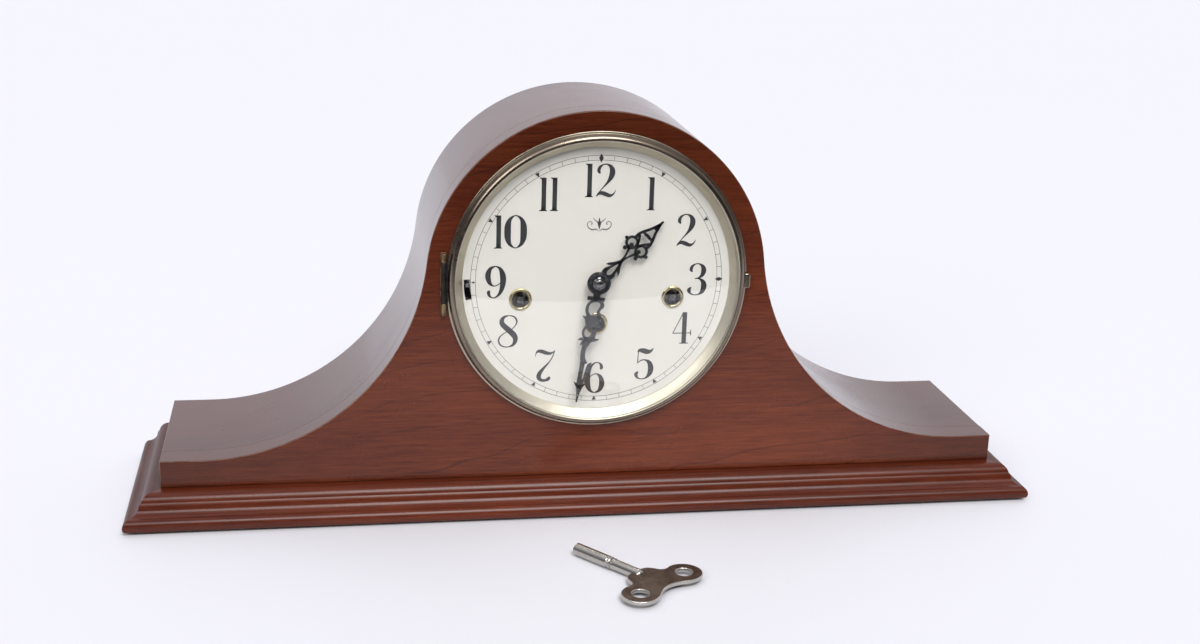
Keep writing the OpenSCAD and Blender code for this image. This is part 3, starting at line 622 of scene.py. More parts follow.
def clear_glass(name):
    """Clear glass that lets light through to the dial."""
    made, g, shader, at = start_material(name)
    smear = g.noise(at, 18.0, 4.0, 0.6)
    g.dress(shader, {"Base Color": (0.99, 0.995, 0.99, 1), "Transmission Weight": 1.0, "IOR": 1.5,
                     "Roughness": g.span(smear, 0.45, 0.8, 0.0, 0.02)})
    through = g.add("BsdfTransparent")
    light = g.add("LightPath")
    mixer = g.add("MixShader", {0: light.outputs["Is Shadow Ray"], 1: shader.outputs[0],
                                2: through.outputs[0]})
    g.feed(made.node_tree.nodes["Material Output"].inputs["Surface"], mixer.outputs[0])
    return made


def cloth_felt(name):
    """Dark green felt under the base."""
    made, g, shader, at = start_material(name)
    nap = g.noise(at, 1500.0, 4.0, 0.7)
    g.dress(shader, {
        "Base Color": g.blend(nap, (0.010, 0.045, 0.022, 1), (0.035, 0.10, 0.05, 1)),
        "Roughness": 0.95, "Normal": g.bump(nap, 0.0003, 0.8)})
    return made


def cast_iron(name):
    """Painted casting with a grainy skin."""
    made, g, shader, at = start_material(name)
    skin = g.noise(at, 700.0, 5.0, 0.65)
    g.dress(shader, {
        "Base Color": g.blend(skin, (0.018, 0.018, 0.020, 1), (0.065, 0.062, 0.060, 1)),
        "Roughness": g.span(skin, 0.3, 0.7, 0.45, 0.7), "Normal": g.bump(skin, 0.0002, 0.7)})
    return made


def studio_floor(name, colour):
    """Pale matt board with a faint mottle."""
    made, g, shader, at = start_material(name)
    mottle = g.noise(at, 3.0, 2.0)
    g.dress(shader, {
        "Base Color": g.blend(g.span(mottle, 0.3, 0.7, 0, 0.06), colour, (0.74, 0.74, 0.78, 1)),
        "Roughness": 0.6})
    return made


# Woods: lighter and darker bands, and how they are finished.
WOODS = {
    "top_wood": ((0.105, 0.026, 0.014), (0.050, 0.012, 0.0075), dict(
        along=True, shift=0.7, figure=0.0, coat=0.5, rough=0.24, spec=0.3)),
    "base_wood": ((0.135, 0.026, 0.0095), (0.058, 0.0100, 0.0046), dict(
        figure=0.2, shift=0.3, rough=0.28, coat=0.13, spec=0.22, coat_rough=0.20, wear=0.25)),
    # Side runs: grain turned and a rougher lacquer; their darker colours are painted shade, as the
    # sides are seen darker than the front
    "base_wood_side": ((0.090, 0.022, 0.012), (0.040, 0.009, 0.0062), dict(
        turn_z=math.pi / 2, figure=0.2, shift=0.9, coat=0.15, rough=0.42, spec=0.2)),
    "back_wood": ((0.20, 0.060, 0.026), (0.105, 0.030, 0.014), dict(
        figure=0.3, rough=0.5, coat=0.0, shift=0.5)),
}

# Metals: clean colour (or the name of its setting), tarnished colour, roughness and the
# fineness of the tarnish.
METALS = {
    "hinge_brass": ("brass", (0.34, 0.21, 0.09), 0.26, 130, {}),
    "hinge_aged": ((0.36, 0.27, 0.15), (0.12, 0.085, 0.05), 0.34, 150, {}),
    "bezel_metal": ("bezel", (0.17, 0.132, 0.10), 0.24, 26, dict(
        low=0.42, high=0.8, worn_colour=(0.42, 0.37, 0.29, 1), depth=0.000003)),
    "reflector": ("reflector", (0.58, 0.53, 0.41), 0.36, 12, dict(
        low=0.3, high=0.9, depth=0.000002, dull_rough=0.06)),
    "grommet_brass": ((0.66, 0.57, 0.36), (0.44, 0.36, 0.20), 0.18, 160, {}),
    "dark_steel": ((0.075, 0.068, 0.062), (0.030, 0.026, 0.024), 0.34, 110, {}),
    "blued_nut": ((0.27, 0.27, 0.28), (0.22, 0.22, 0.225), 0.17, 90, {}),
    "bright_steel": ((0.62, 0.61, 0.60), (0.34, 0.32, 0.30), 0.20, 120, {}),
    "arbor_steel": ((0.22, 0.215, 0.21), (0.10, 0.095, 0.09), 0.22, 120, {}),
    "blued_steel": ((0.16, 0.17, 0.22), (0.10, 0.10, 0.11), 0.26, 120, {}),
    "spring_steel": ((0.50, 0.49, 0.47), (0.22, 0.20, 0.18), 0.30, 200, {}),
    "plate_brass": ("brass", (0.44, 0.28, 0.12), 0.30, 34, dict(low=0.42, high=0.75)),
    "wheel_brass": ((0.78, 0.53, 0.22), (0.50, 0.33, 0.14), 0.24, 90, {}),
    "barrel_brass": ((0.75, 0.50, 0.20), (0.46, 0.30, 0.12), 0.27, 50, dict(turn_z=math.pi / 2)),
    "rod_bronze": ((0.50, 0.30, 0.15), (0.28, 0.16, 0.09), 0.34, 70, {}),
    "key_nickel": ((0.50, 0.48, 0.445), (0.42, 0.385, 0.345), 0.24, 90, dict(
        low=0.55, high=0.85, worn_colour=(0.78, 0.76, 0.72, 1), turn_z=-KEY_TURN, depth=0.000003)),
    "key_wing": ((0.20, 0.155, 0.125), (0.095, 0.068, 0.052), 0.34, 120, dict(
        low=0.40, high=0.66, worn_colour=(0.80, 0.78, 0.74, 1))),
}


def build_finish(name):
    """Makes one of the clock's finishes."""
    tone = bpy.context.scene.clock_finishes
    if name in METALS:
        colour, dull, rough, scale, more = METALS[name]
        if isinstance(colour, str):
            colour = tuple(getattr(tone, colour))[:3]
        return metal(name, (*colour, 1), (*dull, 1), rough, scale, **more)
    if name in WOODS:
        light, dark, more = WOODS[name]
        return wood(name, (*light, 1), (*dark, 1), **more)
    if name == "front_wood":
        # The front wood is darkened towards the arch top and the ends: painted shade, partly the
        # wood's own tone
        return wood(name, tuple(tone.wood_light), tuple(tone.wood_dark), painted_shade_top_and_ends=True)
    maker, *colours = {
        "felt": (cloth_felt,), "glass": (clear_glass,), "block_iron": (cast_iron,),
        "dial_enamel": (enamel, tone.dial), "print_ink": (ink, tone.ink),
        "hand_lacquer": (lacquer, tone.ink), "floor": (studio_floor, tone.floor),
    }[name]
    return maker(name, *(tuple(colour) for colour in colours))


def material(name):
    """A finish by name, made the first time it is asked for."""
    return bpy.data.materials.get("clock_" + name) or build_finish(name)


# ---- Case ----

END_THICKNESS = 12                                   # of the case's solid ends
BACK_PLAY = 0.1                                      # round the back board and behind its door
SLOT_ROWS = range(-3, 4)
SLOT_PITCH, SLOT_HALF_HEIGHT = 11, 2


def case_outline(margin=0.0, ends=0.0, steps=40):
    """The tambour outline in the plane y = 0, drawn in by a margin on its curves and ends."""
    size = bpy.context.scene.clock_case
    half = HALF_CASE / MM - ends
    base = BASE_TOP / MM
    shoulder = base + size.shoulder_height / MM
    flare = size.flare_radius / MM
    arch = size.arch_radius / MM
    middle = DIAL.z / MM
    flare_z = shoulder + flare
    flare_x = math.sqrt((arch + flare) ** 2 - (flare_z - middle) ** 2)
    join = math.degrees(math.atan2(flare_z - middle, flare_x))
    return draw((half, base), [
        (half, shoulder - margin),
        (flare_x, shoulder - margin),
        (flare_x, flare_z, 90 - join, steps),
        (0, middle, -180 + 2 * join, 2 * steps),
        (-flare_x, flare_z, 90 - join, steps),
        (-half, shoulder - margin),
        (-half, base)])


def mark_run(bm):
    """Marks each vertex with its distance along the bent top, for the grain to follow."""
    size = bpy.context.scene.clock_case
    along = bm.verts.layers.float["along"]
    flare = size.flare_radius
    arch = size.arch_radius
    flare_z = BASE_TOP + size.shoulder_height + flare
    flare_x = math.sqrt((arch + flare) ** 2 - (flare_z - DIAL.z) ** 2)
    join = math.atan2(flare_z - DIAL.z, flare_x)
    quarter = math.pi / 2 - join
    for vert in bm.verts:
        x, z = abs(vert.co.x), vert.co.z
        if x >= flare_x:
            run = arch * quarter + flare * quarter + x - flare_x
        elif math.atan2(z - DIAL.z, x) > join:
            run = arch * math.atan2(x, z - DIAL.z)
        else:
            swing = math.atan2(flare_x - x, flare_z - z)
            run = arch * quarter + flare * max(0.0, quarter - swing)
        vert[along] = math.copysign(run, vert.co.x)
    return bm


def stepped_panel(margin, ends, hole, seat, front, step, back, seat_in_front):
    """A board of the case's outline, with a round hole that has a seat on one side."""
    near, far = (seat, hole) if seat_in_front else (hole, seat)
    whole = new_shape()
    for y, radius in ((front, near), (back, far)):
        face = joined(case_outline(margin, ends), placed(circle(radius / MM), face_place(0, 0)))
        add(whole, placed(fill(face), Matrix.Translation((0, y, 0))))
    rim = placed(case_outline(margin, ends), Matrix.Translation((0, front, 0)))
    grown = bmesh.ops.extrude_edge_only(rim, edges=rim.edges[:])["geom"]
    bmesh.ops.translate(rim, verts=only(bmesh.types.BMVert, grown), vec=(0, back - front, 0))
    add(whole, rim)
    stations = ((near, front), (near, step), (far, step), (far, back))
    add(whole, lathe([(r, y, DIAL.z) for r, y in stations], DIAL, (0, 1, 0), 96))
    bmesh.ops.remove_doubles(whole, verts=whole.verts, dist=2e-6)
    return whole


class CLOCK_OT_front_panel(bpy.types.Operator):
    """Builds the front board with its opening for the dial"""
    bl_idname = "clock.front_panel"
    bl_label = "Front panel"

    def execute(self, context):
        size = context.scene.clock_case
        bm = stepped_panel(0, 0, size.opening_radius, size.dial_rebate,
                           FACE, DIAL_FACE + DIAL_THICKNESS, case_high.y, True)
        soften(bm, size.edge_round, 3, 50, lambda edge: all(v.co.y < FACE + 1e-5 for v in edge.verts))
        mark_run(bm)
        reach = size.dial_rebate + 2 * MM
        for face in bm.faces:
            middle = face.calc_center_median() - DIAL
            face.normal_update()
            if abs(face.normal.y) < 0.5 and math.hypot(middle.x, middle.z) > reach:
                face.material_index = 1
        piece("front_board", bm, "case", "front_wood", ["front_panel"], second="top_wood")
        return {"FINISHED"}


def arch_line(margin=0.0, ends=0.0):
    """The tambour outline without its foot."""
    line = case_outline(margin, ends)
    foot = [edge for edge in line.edges if all(stands_low(vert) for vert in edge.verts)]
    bmesh.ops.delete(line, geom=foot, context="EDGES")
    return line


def stands_low(vert):
    """Whether a vertex is at the foot of the case."""
    return vert.co.z < BASE_TOP + 1e-6


class CLOCK_OT_bent_top(bpy.types.Operator):
    """Builds the bent top that wraps the case from end to end"""
    bl_idname = "clock.bent_top"
    bl_label = "Bent top"

    def execute(self, context):
        size = context.scene.clock_case
        bm = joined(arch_line(), arch_line(size.wrap_thickness / MM, END_THICKNESS))
        for side in (-1, 1):
            bm.edges.new([vert for vert in bm.verts if stands_low(vert) and vert.co.x * side > 0])
        fill(bm)
        thicken(bm, wrap_low.y, wrap_high.y)
        soften(bm, 0.5 * MM, 2, 50)
        mark_run(bm)
        piece("bent_top", bm, "case", "top_wood", ["top_wrap"])
        return {"FINISHED"}


def moulding_section():
    """Section of the base moulding, drawn with its outward side to the right."""
    return draw((-8, 1), [
        (-8, 19.5), (4.0, 19.5), (5.04, 19.41),
        (4, 13.5, 68, 12),
        (10.6, 14.1), (10.9, 12.9), (11.16, 11.76),
        (16.6, 14.3, -57, 10),
        (16.45, 8.38),
        (14.8, 4.3, 103, 18),
        (17.6, 1.4), (16.8, 1)])


class CLOCK_OT_mouldings(bpy.types.Operator):
    """Builds the three mitred runs of base moulding"""
    bl_idname = "clock.mouldings"
    bl_label = "Base mouldings"

    def execute(self, context):
        for part, side in (("front", 0), ("left", -1), ("right", 1)):
            bm = fill(moulding_section())
            grown = bmesh.ops.extrude_face_region(bm, geom=bm.faces[:])
            far = set(only(bmesh.types.BMVert, grown["geom"]))
            for vert in bm.verts:
                out, up = vert.co.x, vert.co.z
                end = 1 if vert in far else -1
                if side == 0:
                    vert.co = (end * (HALF_CASE + out), FACE - out, up)
                else:
                    near = FACE - out
                    vert.co = (side * (HALF_CASE + out), BASE_BACK if end > 0 else near, up)
            run = Vector((1, 0, 0)) if side == 0 else Vector((0, 1, 0))
            soften(bm, 0.25 * MM, 2, 38, lambda edge: abs(
                (edge.verts[1].co - edge.verts[0].co).normalized().dot(run)) > 0.9)
            # The side runs take the darker copy of the base wood, which paints shade on them
            finish = "base_wood" if side == 0 else "base_wood_side"
            piece("plinth_" + part, bm, "case", finish, ["moulding_" + part])
        return {"FINISHED"}


class CLOCK_OT_back(bpy.types.Operator):
    """Builds the back board and its round door with sound slots"""
    bl_idname = "clock.back"
    bl_label = "Back board and door"

    def execute(self, context):
        size = context.scene.clock_case
        bm = stepped_panel(size.wrap_thickness / MM + BACK_PLAY, END_THICKNESS + BACK_PLAY,
                           size.door_opening, size.door_seat,
                           back_low.y, door_low.y - BACK_PLAY * MM, back_high.y, False)
        soften(bm, 0.4 * MM, 2, 50)
        piece("back_board", bm, "case", "back_wood", ["back_panel"])

        radius = (door_high.x - door_low.x) / 2 / MM
        parts = [circle(radius, (0, 0), 144)]
        for row in SLOT_ROWS:
            half = 42 - abs(row) * 6
            middle = row * SLOT_PITCH
            parts.append(draw((half, middle + SLOT_HALF_HEIGHT),
                              [(half, middle, 180, 10), (-half, middle - SLOT_HALF_HEIGHT),
                               (-half, middle, 180, 10)]))
        bm = placed(fill(joined(*parts)), Matrix.Translation((0, 0, DIAL.z)))
        thicken(bm, door_low.y, door_high.y)
        soften(bm, 0.4 * MM, 2, 50)
        piece("round_door", bm, "rear_door", "back_wood", ["rear_door"])
        return {"FINISHED"}


# ---- Bezel, glass and hinge ----

# Sections of (radius, distance in front of the case face)
BEZEL_SECTION = ((80.3, 0.3), (82.9, 0.3), (83.2, 0.6), (84.0, 0.65), (84.1, 0.9), (83.9, 1.15),
                 (83.1, 1.25), (83.0, 2.0), (82.85, 2.5), (82.45, 2.75), (82.2, 3.1), (82.35, 3.45),
                 (82.4, 3.8), (82.15, 4.3), (81.6, 4.85), (80.9, 5.2), (80.2, 5.4), (79.6, 5.35),
                 (79.2, 5.15), (79.0, 4.8), (79.0, 4.45), (80.3, 4.45))
CONE_SECTION = ((80.3, 1.7), (80.3, 2.4), (79.2, 2.4), (78.8, 2.25), (76.9, 0.5), (75.0, -1.2),
                (74.7, -1.5), (74.7, -1.8), (75.1, -1.8), (79.2, 1.7))
BEZEL_LIP = 79.5                                     # inside this radius the bezel is bright
GLASS_RIM, GLASS_RISE, GLASS_THICK = 80.3, 8.0, 1.5
GLASS_SEAT = 4.1                                     # distance of the rim in front of the case face
HINGE_AXIS = (-85.2 * MM, -44.0 * MM)


class CLOCK_OT_bezel(bpy.types.Operator):
    """Builds the bezel ring with its finger tab, and the bright cone inside it"""
    bl_idname = "clock.bezel"
    bl_label = "Bezel"

    def execute(self, context):
        steps = context.scene.clock_dial.turn_steps
        bm = turned(BEZEL_SECTION, steps)
        wear = bm.verts.layers.float["wear"]
        for vert in bm.verts:
            reach = math.hypot(vert.co.x, vert.co.z - DIAL.z) / MM
            if reach > 82.9 or reach < 79.3:
                vert[wear] = 0.8
        tab = draw((82.4, -4.2), [(84.6, -4.2), (84.6, -3.0, -90, 6), (85.8, 3.0),
                                  (84.6, 3.0, -90, 6), (82.4, 4.2)])
        tab = placed(fill(tab), Matrix.Translation((0, 0, DIAL.z)))
        thicken(tab, FACE - 3.9 * MM, FACE - 1.1 * MM)
        soften(tab, 0.5 * MM, 3)
        for face in bm.faces:
            middle = face.calc_center_median() - DIAL
            if math.hypot(middle.x, middle.z) < BEZEL_LIP * MM:
                face.material_index = 1
        add(bm, tab)
        piece("bezel_band", bm, "bezel", "bezel_metal", ["bezel_ring"],
              second="reflector")
        cone = turned(CONE_SECTION, steps)
        piece("dial_cone", cone, "bezel", "reflector", ["bezel_reflector"])
        return {"FINISHED"}


class CLOCK_OT_glass(bpy.types.Operator):
    """Builds the domed glass"""
    bl_idname = "clock.glass"
    bl_label = "Glass"

    def execute(self, context):
        ball = (GLASS_RIM ** 2 + GLASS_RISE ** 2) / (2 * GLASS_RISE)
        hollow = ball - GLASS_THICK
        middle = GLASS_SEAT + GLASS_RISE - ball
        swing = math.degrees(math.asin(GLASS_RIM / ball))
        inner = 0.985 * math.degrees(math.acos((ball - GLASS_RISE) / hollow))

        def dome(radius, degrees):
            angle = math.radians(degrees)
            return radius * math.sin(angle), middle + radius * math.cos(angle)

        section = [dome(ball, swing * count / 24) for count in range(25)]
        section += [(GLASS_RIM, GLASS_SEAT - 0.4), (GLASS_RIM - 1.2, GLASS_SEAT - 0.9)]
        section += [dome(hollow, inner * count / 24) for count in range(24, -1, -1)]
        bm = turned(section, context.scene.clock_dial.turn_steps, closed=False)
        bmesh.ops.remove_doubles(bm, verts=bm.verts, dist=2e-6)
        piece("domed_glass", bm, "bezel", "glass", ["bezel_glass"])
        return {"FINISHED"}


def rod(radius, low, high, centre, steps=28):
    """An upright round rod between two heights, in metres."""
    bm = new_shape()
    middle = Matrix.Translation((centre[0], centre[1], (low + high) / 2))
    bmesh.ops.create_cone(bm, cap_ends=True, cap_tris=False, segments=steps, radius1=radius,
                          radius2=radius, depth=high - low, matrix=middle)
    return bm


def block(low, high):
    """A box between two corners, in metres."""
    bm = new_shape()
    size = Vector(high) - Vector(low)
    bmesh.ops.create_cube(bm, size=1, matrix=Matrix.Translation((Vector(low) + Vector(high)) / 2)
                          @ Matrix.Diagonal((size.x, size.y, size.z, 1)))
    return bm


class CLOCK_OT_bezel_hinge(bpy.types.Operator):
    """Builds the bezel's hinge: a brass leaf with two end knuckles, and a dark middle knuckle"""
    bl_idname = "clock.bezel_hinge"
    bl_label = "Bezel hinge"

    def execute(self, context):
        x, y = HINGE_AXIS
        low, high = leaf_low.z, leaf_high.z
        bm = block((leaf_low.x + 1.7 * MM, FACE - 0.5 * MM, low), (leaf_high.x, FACE, high))
        soften(bm, 0.2 * MM, 2)
        for bottom, top in ((low, low + 6.7 * MM), (high - 5 * MM, high)):
            end = rod(1.5 * MM, bottom, top, HINGE_AXIS)
            add(end, block((x - 1.5 * MM, y, bottom), (x + 1.5 * MM, FACE - 0.4 * MM, top)))
            soften(end, 0.45 * MM, 3, 60)
            add(bm, end)
        add(bm, rod(0.75 * MM, low, high, HINGE_AXIS, 20))
        piece("hinge_leaf", bm, "case", "hinge_aged", ["bezel_leaf"])

        bm = rod(1.45 * MM, knuckle_low.z, knuckle_high.z, HINGE_AXIS)
        soften(bm, 0.3 * MM, 2, 60)
        arm = block((x, y - 0.6 * MM, knuckle_low.z),
                    (knuckle_high.x - 1.0 * MM, y + 1.2 * MM, knuckle_high.z))
        soften(arm, 0.2 * MM, 2)
        add(bm, arm)
        piece("hinge_barrel", bm, "bezel", "dark_steel", ["bezel_knuckle"])
        return {"FINISHED"}


# ---- Dial printing ----

# Strokes of the numerals: (u, v, width) in hundredths of their height. 0 is one closed stroke.
NUMERALS = {
    "0": (64, (
        ((32, 98.5, 3), (48, 88, 10), (54.5, 70, 17.5), (55.5, 50, 19.5), (54.5, 30, 17.5),
         (48, 12, 10), (32, 1.5, 3), (16, 12, 10), (9.5, 30, 17.5), (8.5, 50, 19.5),
         (9.5, 70, 17.5), (16, 88, 10)),)),
    "1": (26, (
        ((14.5, 99, 14), (14.5, 50, 13.5), (14.5, 1, 14)),
        ((2, 98.5, 2), (8, 96.5, 5), (15, 93, 10)),
        ((1, 1.4, 2.8), (13, 1.6, 3.2), (25, 1.4, 2.8)),
        ((5, 2, 2), (11, 5, 6), (14, 10, 8)),)),
    "2": (62, (
        ((13, 70, 4), (8.5, 78, 10), (12, 89, 8.5), (22, 96.5, 4), (33, 97, 4.5), (44, 90, 11),
         (49, 76, 16.5), (45.5, 60, 14.5), (36, 44, 7.5), (22, 28, 3.5), (10, 13, 2.6),
         (3, 2, 2.4)),
        ((3, 2, 2), (10, 10, 7.5), (19, 12.5, 11.5), (30, 9, 12.5), (42, 4.5, 10.5), (51, 7, 6),
         (57, 14, 3.2), (59.5, 21, 1.8)),)),
    "3": (64, (
        ((16, 73, 3), (11.5, 80, 10), (15, 90.5, 8), (26, 97.5, 3.5), (38, 96.5, 5),
         (47.5, 88, 12), (50, 76, 15.5), (46, 63.5, 12), (36, 54.5, 5), (24, 52.5, 2.6)),
        ((24, 52.5, 2.6), (38, 51.5, 5), (49, 42, 13), (52.5, 29, 17), (48.5, 13, 13.5),
         (38, 3.5, 5), (25, 1.5, 3), (13, 6, 6), (7.5, 16, 11.5), (12, 23.5, 6), (15, 25, 2)),)),
    "4": (60, (
        ((37.5, 99, 14), (37.5, 50, 14), (37.5, 1, 14)),
        ((33, 98.5, 2.8), (20, 70, 2.6), (3, 34.5, 2.6)),
        ((2, 33.5, 2.8), (30, 33.5, 2.8), (58, 33.5, 2.8)),
        ((57.5, 44, 1.8), (57.5, 33.5, 3.4), (57.5, 25, 1.8)),
        ((24, 1.4, 2.8), (37.5, 1.6, 3.2), (51, 1.4, 2.8)),)),
    "5": (62, (
        ((10, 86, 3), (15, 92, 10), (27, 91, 15.5), (39, 87.5, 15), (50, 90, 8.5),
         (57.5, 98.5, 2)),
        ((11.5, 93, 2.8), (11, 75, 2.6), (10, 52, 2.8)),
        ((10, 52, 2.2), (20, 60, 3.4), (33, 61.5, 4.5), (45, 54, 12), (51, 38, 17), (49, 20, 15),
         (39, 6, 6.5), (25, 1.2, 3), (12, 5, 5.5), (6.5, 15, 11), (10.5, 22.5, 7), (14, 24, 2)),)),
    "6": (63, (
        ((47, 76, 2), (51.5, 80, 10), (50, 90, 8), (42, 97, 3.5), (32, 96.5, 4), (20, 86, 8.5),
         (12.5, 68, 14), (9.5, 46, 17.5), (11.5, 26, 16.5), (19, 9, 9), (32, 1.4, 3)),
        ((32, 1.4, 3), (46, 8, 10), (53, 22, 15.5), (54, 36, 16), (49, 52, 11.5), (39, 61, 4.5),
         (28, 60, 3), (17, 52, 2.8)),)),
    "7": (62, (
        ((2, 79, 1.6), (3.5, 90, 3), (10, 96.5, 8.5), (21, 95.5, 11.5), (33, 91, 11.5),
         (45, 89, 8.5), (54.5, 92.5, 4), (60, 98.5, 2)),
        ((59.5, 97.5, 2.4), (53, 78, 3), (42, 60, 4), (28, 44, 7.5), (16, 28, 12.5),
         (12.5, 15, 13.5), (20, 5.5, 10), (32, 4.5, 8.5), (42, 9, 10.5), (45, 16, 5)),)),
    "8": (66, (
        ((33, 98.5, 3), (20, 94.5, 8), (12.5, 84, 13), (14.5, 72, 15.5), (26, 60, 16.5),
         (40, 47, 17.5), (51, 34, 16.5), (53, 20, 13), (46, 7, 8), (33, 1.5, 3)),
        ((33, 98.5, 3), (48, 95, 4.5), (56.5, 83, 5), (54, 70, 3.4), (42, 56, 2.8),
         (23, 46, 2.8), (8, 34, 4), (3.5, 22, 4.6), (8, 9, 4.6), (20, 2, 3.6), (33, 1.5, 3)),)),
}
NUMERALS["9"] = (63, tuple(tuple((63 - u, 100 - v, w) for u, v, w in path)
                           for path in NUMERALS["6"][1]))


def numeral(text, gap=6):
    """A numeral centred on (0, 0) and one millimetre high."""
    width = sum(NUMERALS[digit][0] for digit in text) + gap * (len(text) - 1)
    bm = new_shape()
    left = -width / 2
    for digit in text:
        wide, strokes = NUMERALS[digit]
        for path in strokes:
            add(bm, ribbon([(u + left, v - 50, w) for u, v, w in path], 6, digit == "0"))
        left += wide + gap
    bmesh.ops.scale(bm, vec=(0.01, 0.01, 0.01), verts=bm.verts)
    return bm


def printed_dial(size):
    """All the printing on the dial: numerals, minute track, hour marks and a small ornament."""
    bm = new_shape()
    high = size.numeral_height / MM
    for hour in range(1, 13):
        angle = math.radians(30 * hour)
        sign = numeral(str(hour))
        bmesh.ops.scale(sign, vec=(high, high, high), verts=sign.verts)
        add(bm, placed(sign, face_place(size.numeral_radius * math.sin(angle),
                                        size.numeral_radius * math.cos(angle))))
    line = size.line_width / MM
    for radius in (size.track_inner / MM, size.track_outer / MM):
        path = [(radius * math.sin(math.radians(a)), radius * math.cos(math.radians(a)), line)
                for a in range(0, 360, 15)]
        add(bm, placed(ribbon(path, 10, True), face_place(0, 0)))
    for minute in range(60):
        tick = ribbon(((0, size.track_inner / MM, line), (0, size.track_outer / MM, line)), 1)
        add(bm, placed(tick, face_place(0, 0, math.radians(6 * minute))))
    middle = (size.track_inner + size.track_outer) / 2 / MM - 0.2
    shapes = {
        0: ((0, -2.5), [(1.3, 0), (0, 2.5), (-1.3, 0)]),
        3: ((0, -2.3), [(1.2, 0), (0, 2.3), (-1.2, 0)]),
        9: ((0, -0.6), [(0, 0, 180, 8), (0, 0, 180, 8)]),
    }
    for hour in range(12):
        start, moves = shapes.get(hour, ((0, -1.5), [(1.25, 1.0), (-1.25, 1.0)]))
        mark = placed(fill(draw(start, moves)), Matrix.Translation((0, 0, middle * MM)))
        add(bm, placed(mark, face_place(0, 0, math.radians(30 * hour))))
    # Ornament: two open scrolls with a leaf between them
    for side in (-1, 1):
        scroll = ribbon([(side * u, v, w) for u, v, w in (
            (0.2, -3.4, 0.2), (1.8, -2.1, 0.55), (3.8, -2.5, 0.62), (6.0, -1.2, 0.5), (6.6, 0.9, 0.4),
            (5.3, 2.2, 0.36), (4.0, 1.4, 0.42), (4.4, 0.3, 0.62))], 6)
        add(bm, placed(scroll, face_place(0, 31.5 * MM)))
        wing = ribbon([(side * u, v, w) for u, v, w in (
            (0.2, 0.4, 0.3), (1.2, 1.9, 0.55), (2.5, 2.9, 0.42), (3.6, 4.2, 0.2))], 6)
        add(bm, placed(wing, face_place(0, 31.5 * MM)))
    leaf = fill(draw((0, -2.6), [(0.95, 0.8), (0, 4.6), (-0.95, 0.8)]))
    add(bm, placed(leaf, face_place(0, 31.5 * MM)))
    return bm


class CLOCK_OT_dial_print(bpy.types.Operator):
    """Builds the raised printing of the dial"""
    bl_idname = "clock.dial_print"
    bl_label = "Dial print"

    def execute(self, context):
        size = context.scene.clock_dial
        bm = thicken(printed_dial(size), DIAL_FACE - size.print_height, DIAL_FACE)
        piece("dial_print", bm, "case", "print_ink", smooth=False)
        return {"FINISHED"}


class CLOCK_OT_grommets(bpy.types.Operator):
    """Builds the rolled brass grommets of the three winding holes"""
    bl_idname = "clock.grommets"
    bl_label = "Winding grommets"

    def execute(self, context):
        sunk = (DIAL_FACE - FACE) / MM
        section = ((4.4, -2.4), (5.2, -2.4), (5.2, 0.0), (6.3, 0.0), (6.4, 0.15), (6.25, 0.45),
                   (5.95, 0.66), (5.6, 0.78), (5.2, 0.8), (4.85, 0.66), (4.55, 0.35), (4.4, -0.1))
        bm = new_shape()
        for u, v in WINDING_HOLES:
            centre = DIAL + Vector((u * MM, 0, v * MM))
            add(bm, turned([(r, d - sunk) for r, d in section], 64, centre))
        piece("winding_grommets", bm, "case", "grommet_brass", ["grommets"])
        return {"FINISHED"}


# ---- Hands ----

# Strokes of the hands: (sideways, along, width), with the hand pointing up.
MINUTE_STROKES = (
    ((0, 5.5, 4.6), (0, 7, 4), (0, 8.8, 4.4)),
    ((-4.9, 9.1, 2.3), (0, 8.9, 2), (4.9, 9.1, 2.3)),
    ((-2.4, 10.2, 1.4), (0.6, 10.3, 1.5), (2.9, 11.5, 1.5), (4, 14.2, 1.6), (3.6, 17.2, 1.8),
     (1.8, 19.4, 2)),
    ((-2, 10.2, 1.4), (-3.7, 11.1, 1.9), (-4.1, 12.8, 2.3), (-3.2, 14.5, 1.5), (-2.6, 16.4, 1.6),
     (-3.4, 18.4, 2.2), (-3, 20, 2.6)),
    ((-0.4, 18.6, 7.6), (-0.5, 20.8, 9.2), (-1.1, 23.6, 8.4), (-1.4, 26.4, 6.6)),
    ((3, 20.6, 2.6), (4.4, 20.2, 1.3), (5.7, 19.6, 0.2)),
    ((-4.4, 22, 1.6), (-5.4, 24.4, 1), (-5.9, 26.2, 0.2)),
    ((-2.6, 25, 2.8), (-2.5, 28.5, 2.4), (-1.6, 32, 3.4)),
    ((2.2, 25.2, 1.6), (3.4, 27.2, 1.3), (3.6, 29.6, 1.3), (2.4, 31.8, 1.6), (0.6, 32.4, 2)),
    ((5.9, 33.6, 0.2), (3.6, 32.9, 1.7), (0.4, 32.6, 2.6), (-2.8, 32.6, 2.2), (-5.9, 32, 0.2)),
    ((0.3, 32.5, 5), (0.8, 34.6, 4.2), (1.4, 37.4, 2.9), (1.6, 41, 2.6), (1, 44.4, 3),
     (-0.3, 47.2, 4)),
    ((2.4, 34.4, 2), (3.4, 35.6, 1.1), (4.2, 36.8, 0.2)),
    ((0.7, 46, 2.8), (0.7, 50.5, 2.5), (0.7, 55, 2.4), (0.6, 59, 2.6)),
    ((-4.3, 45.8, 0.2), (-3, 47.6, 1.6), (-2.6, 51, 2), (-2.1, 55, 1.8), (-0.9, 58.6, 1.6)),
    ((3.6, 58.2, 0.2), (1.9, 59.6, 1.7), (0.1, 60.6, 2.8), (-1.7, 59.6, 1.7), (-3.4, 58.2, 0.2)),
    ((0, 59.4, 4.4), (0, 61.6, 3.2), (0, 65, 1.7), (0, 70, 0.8)),
)
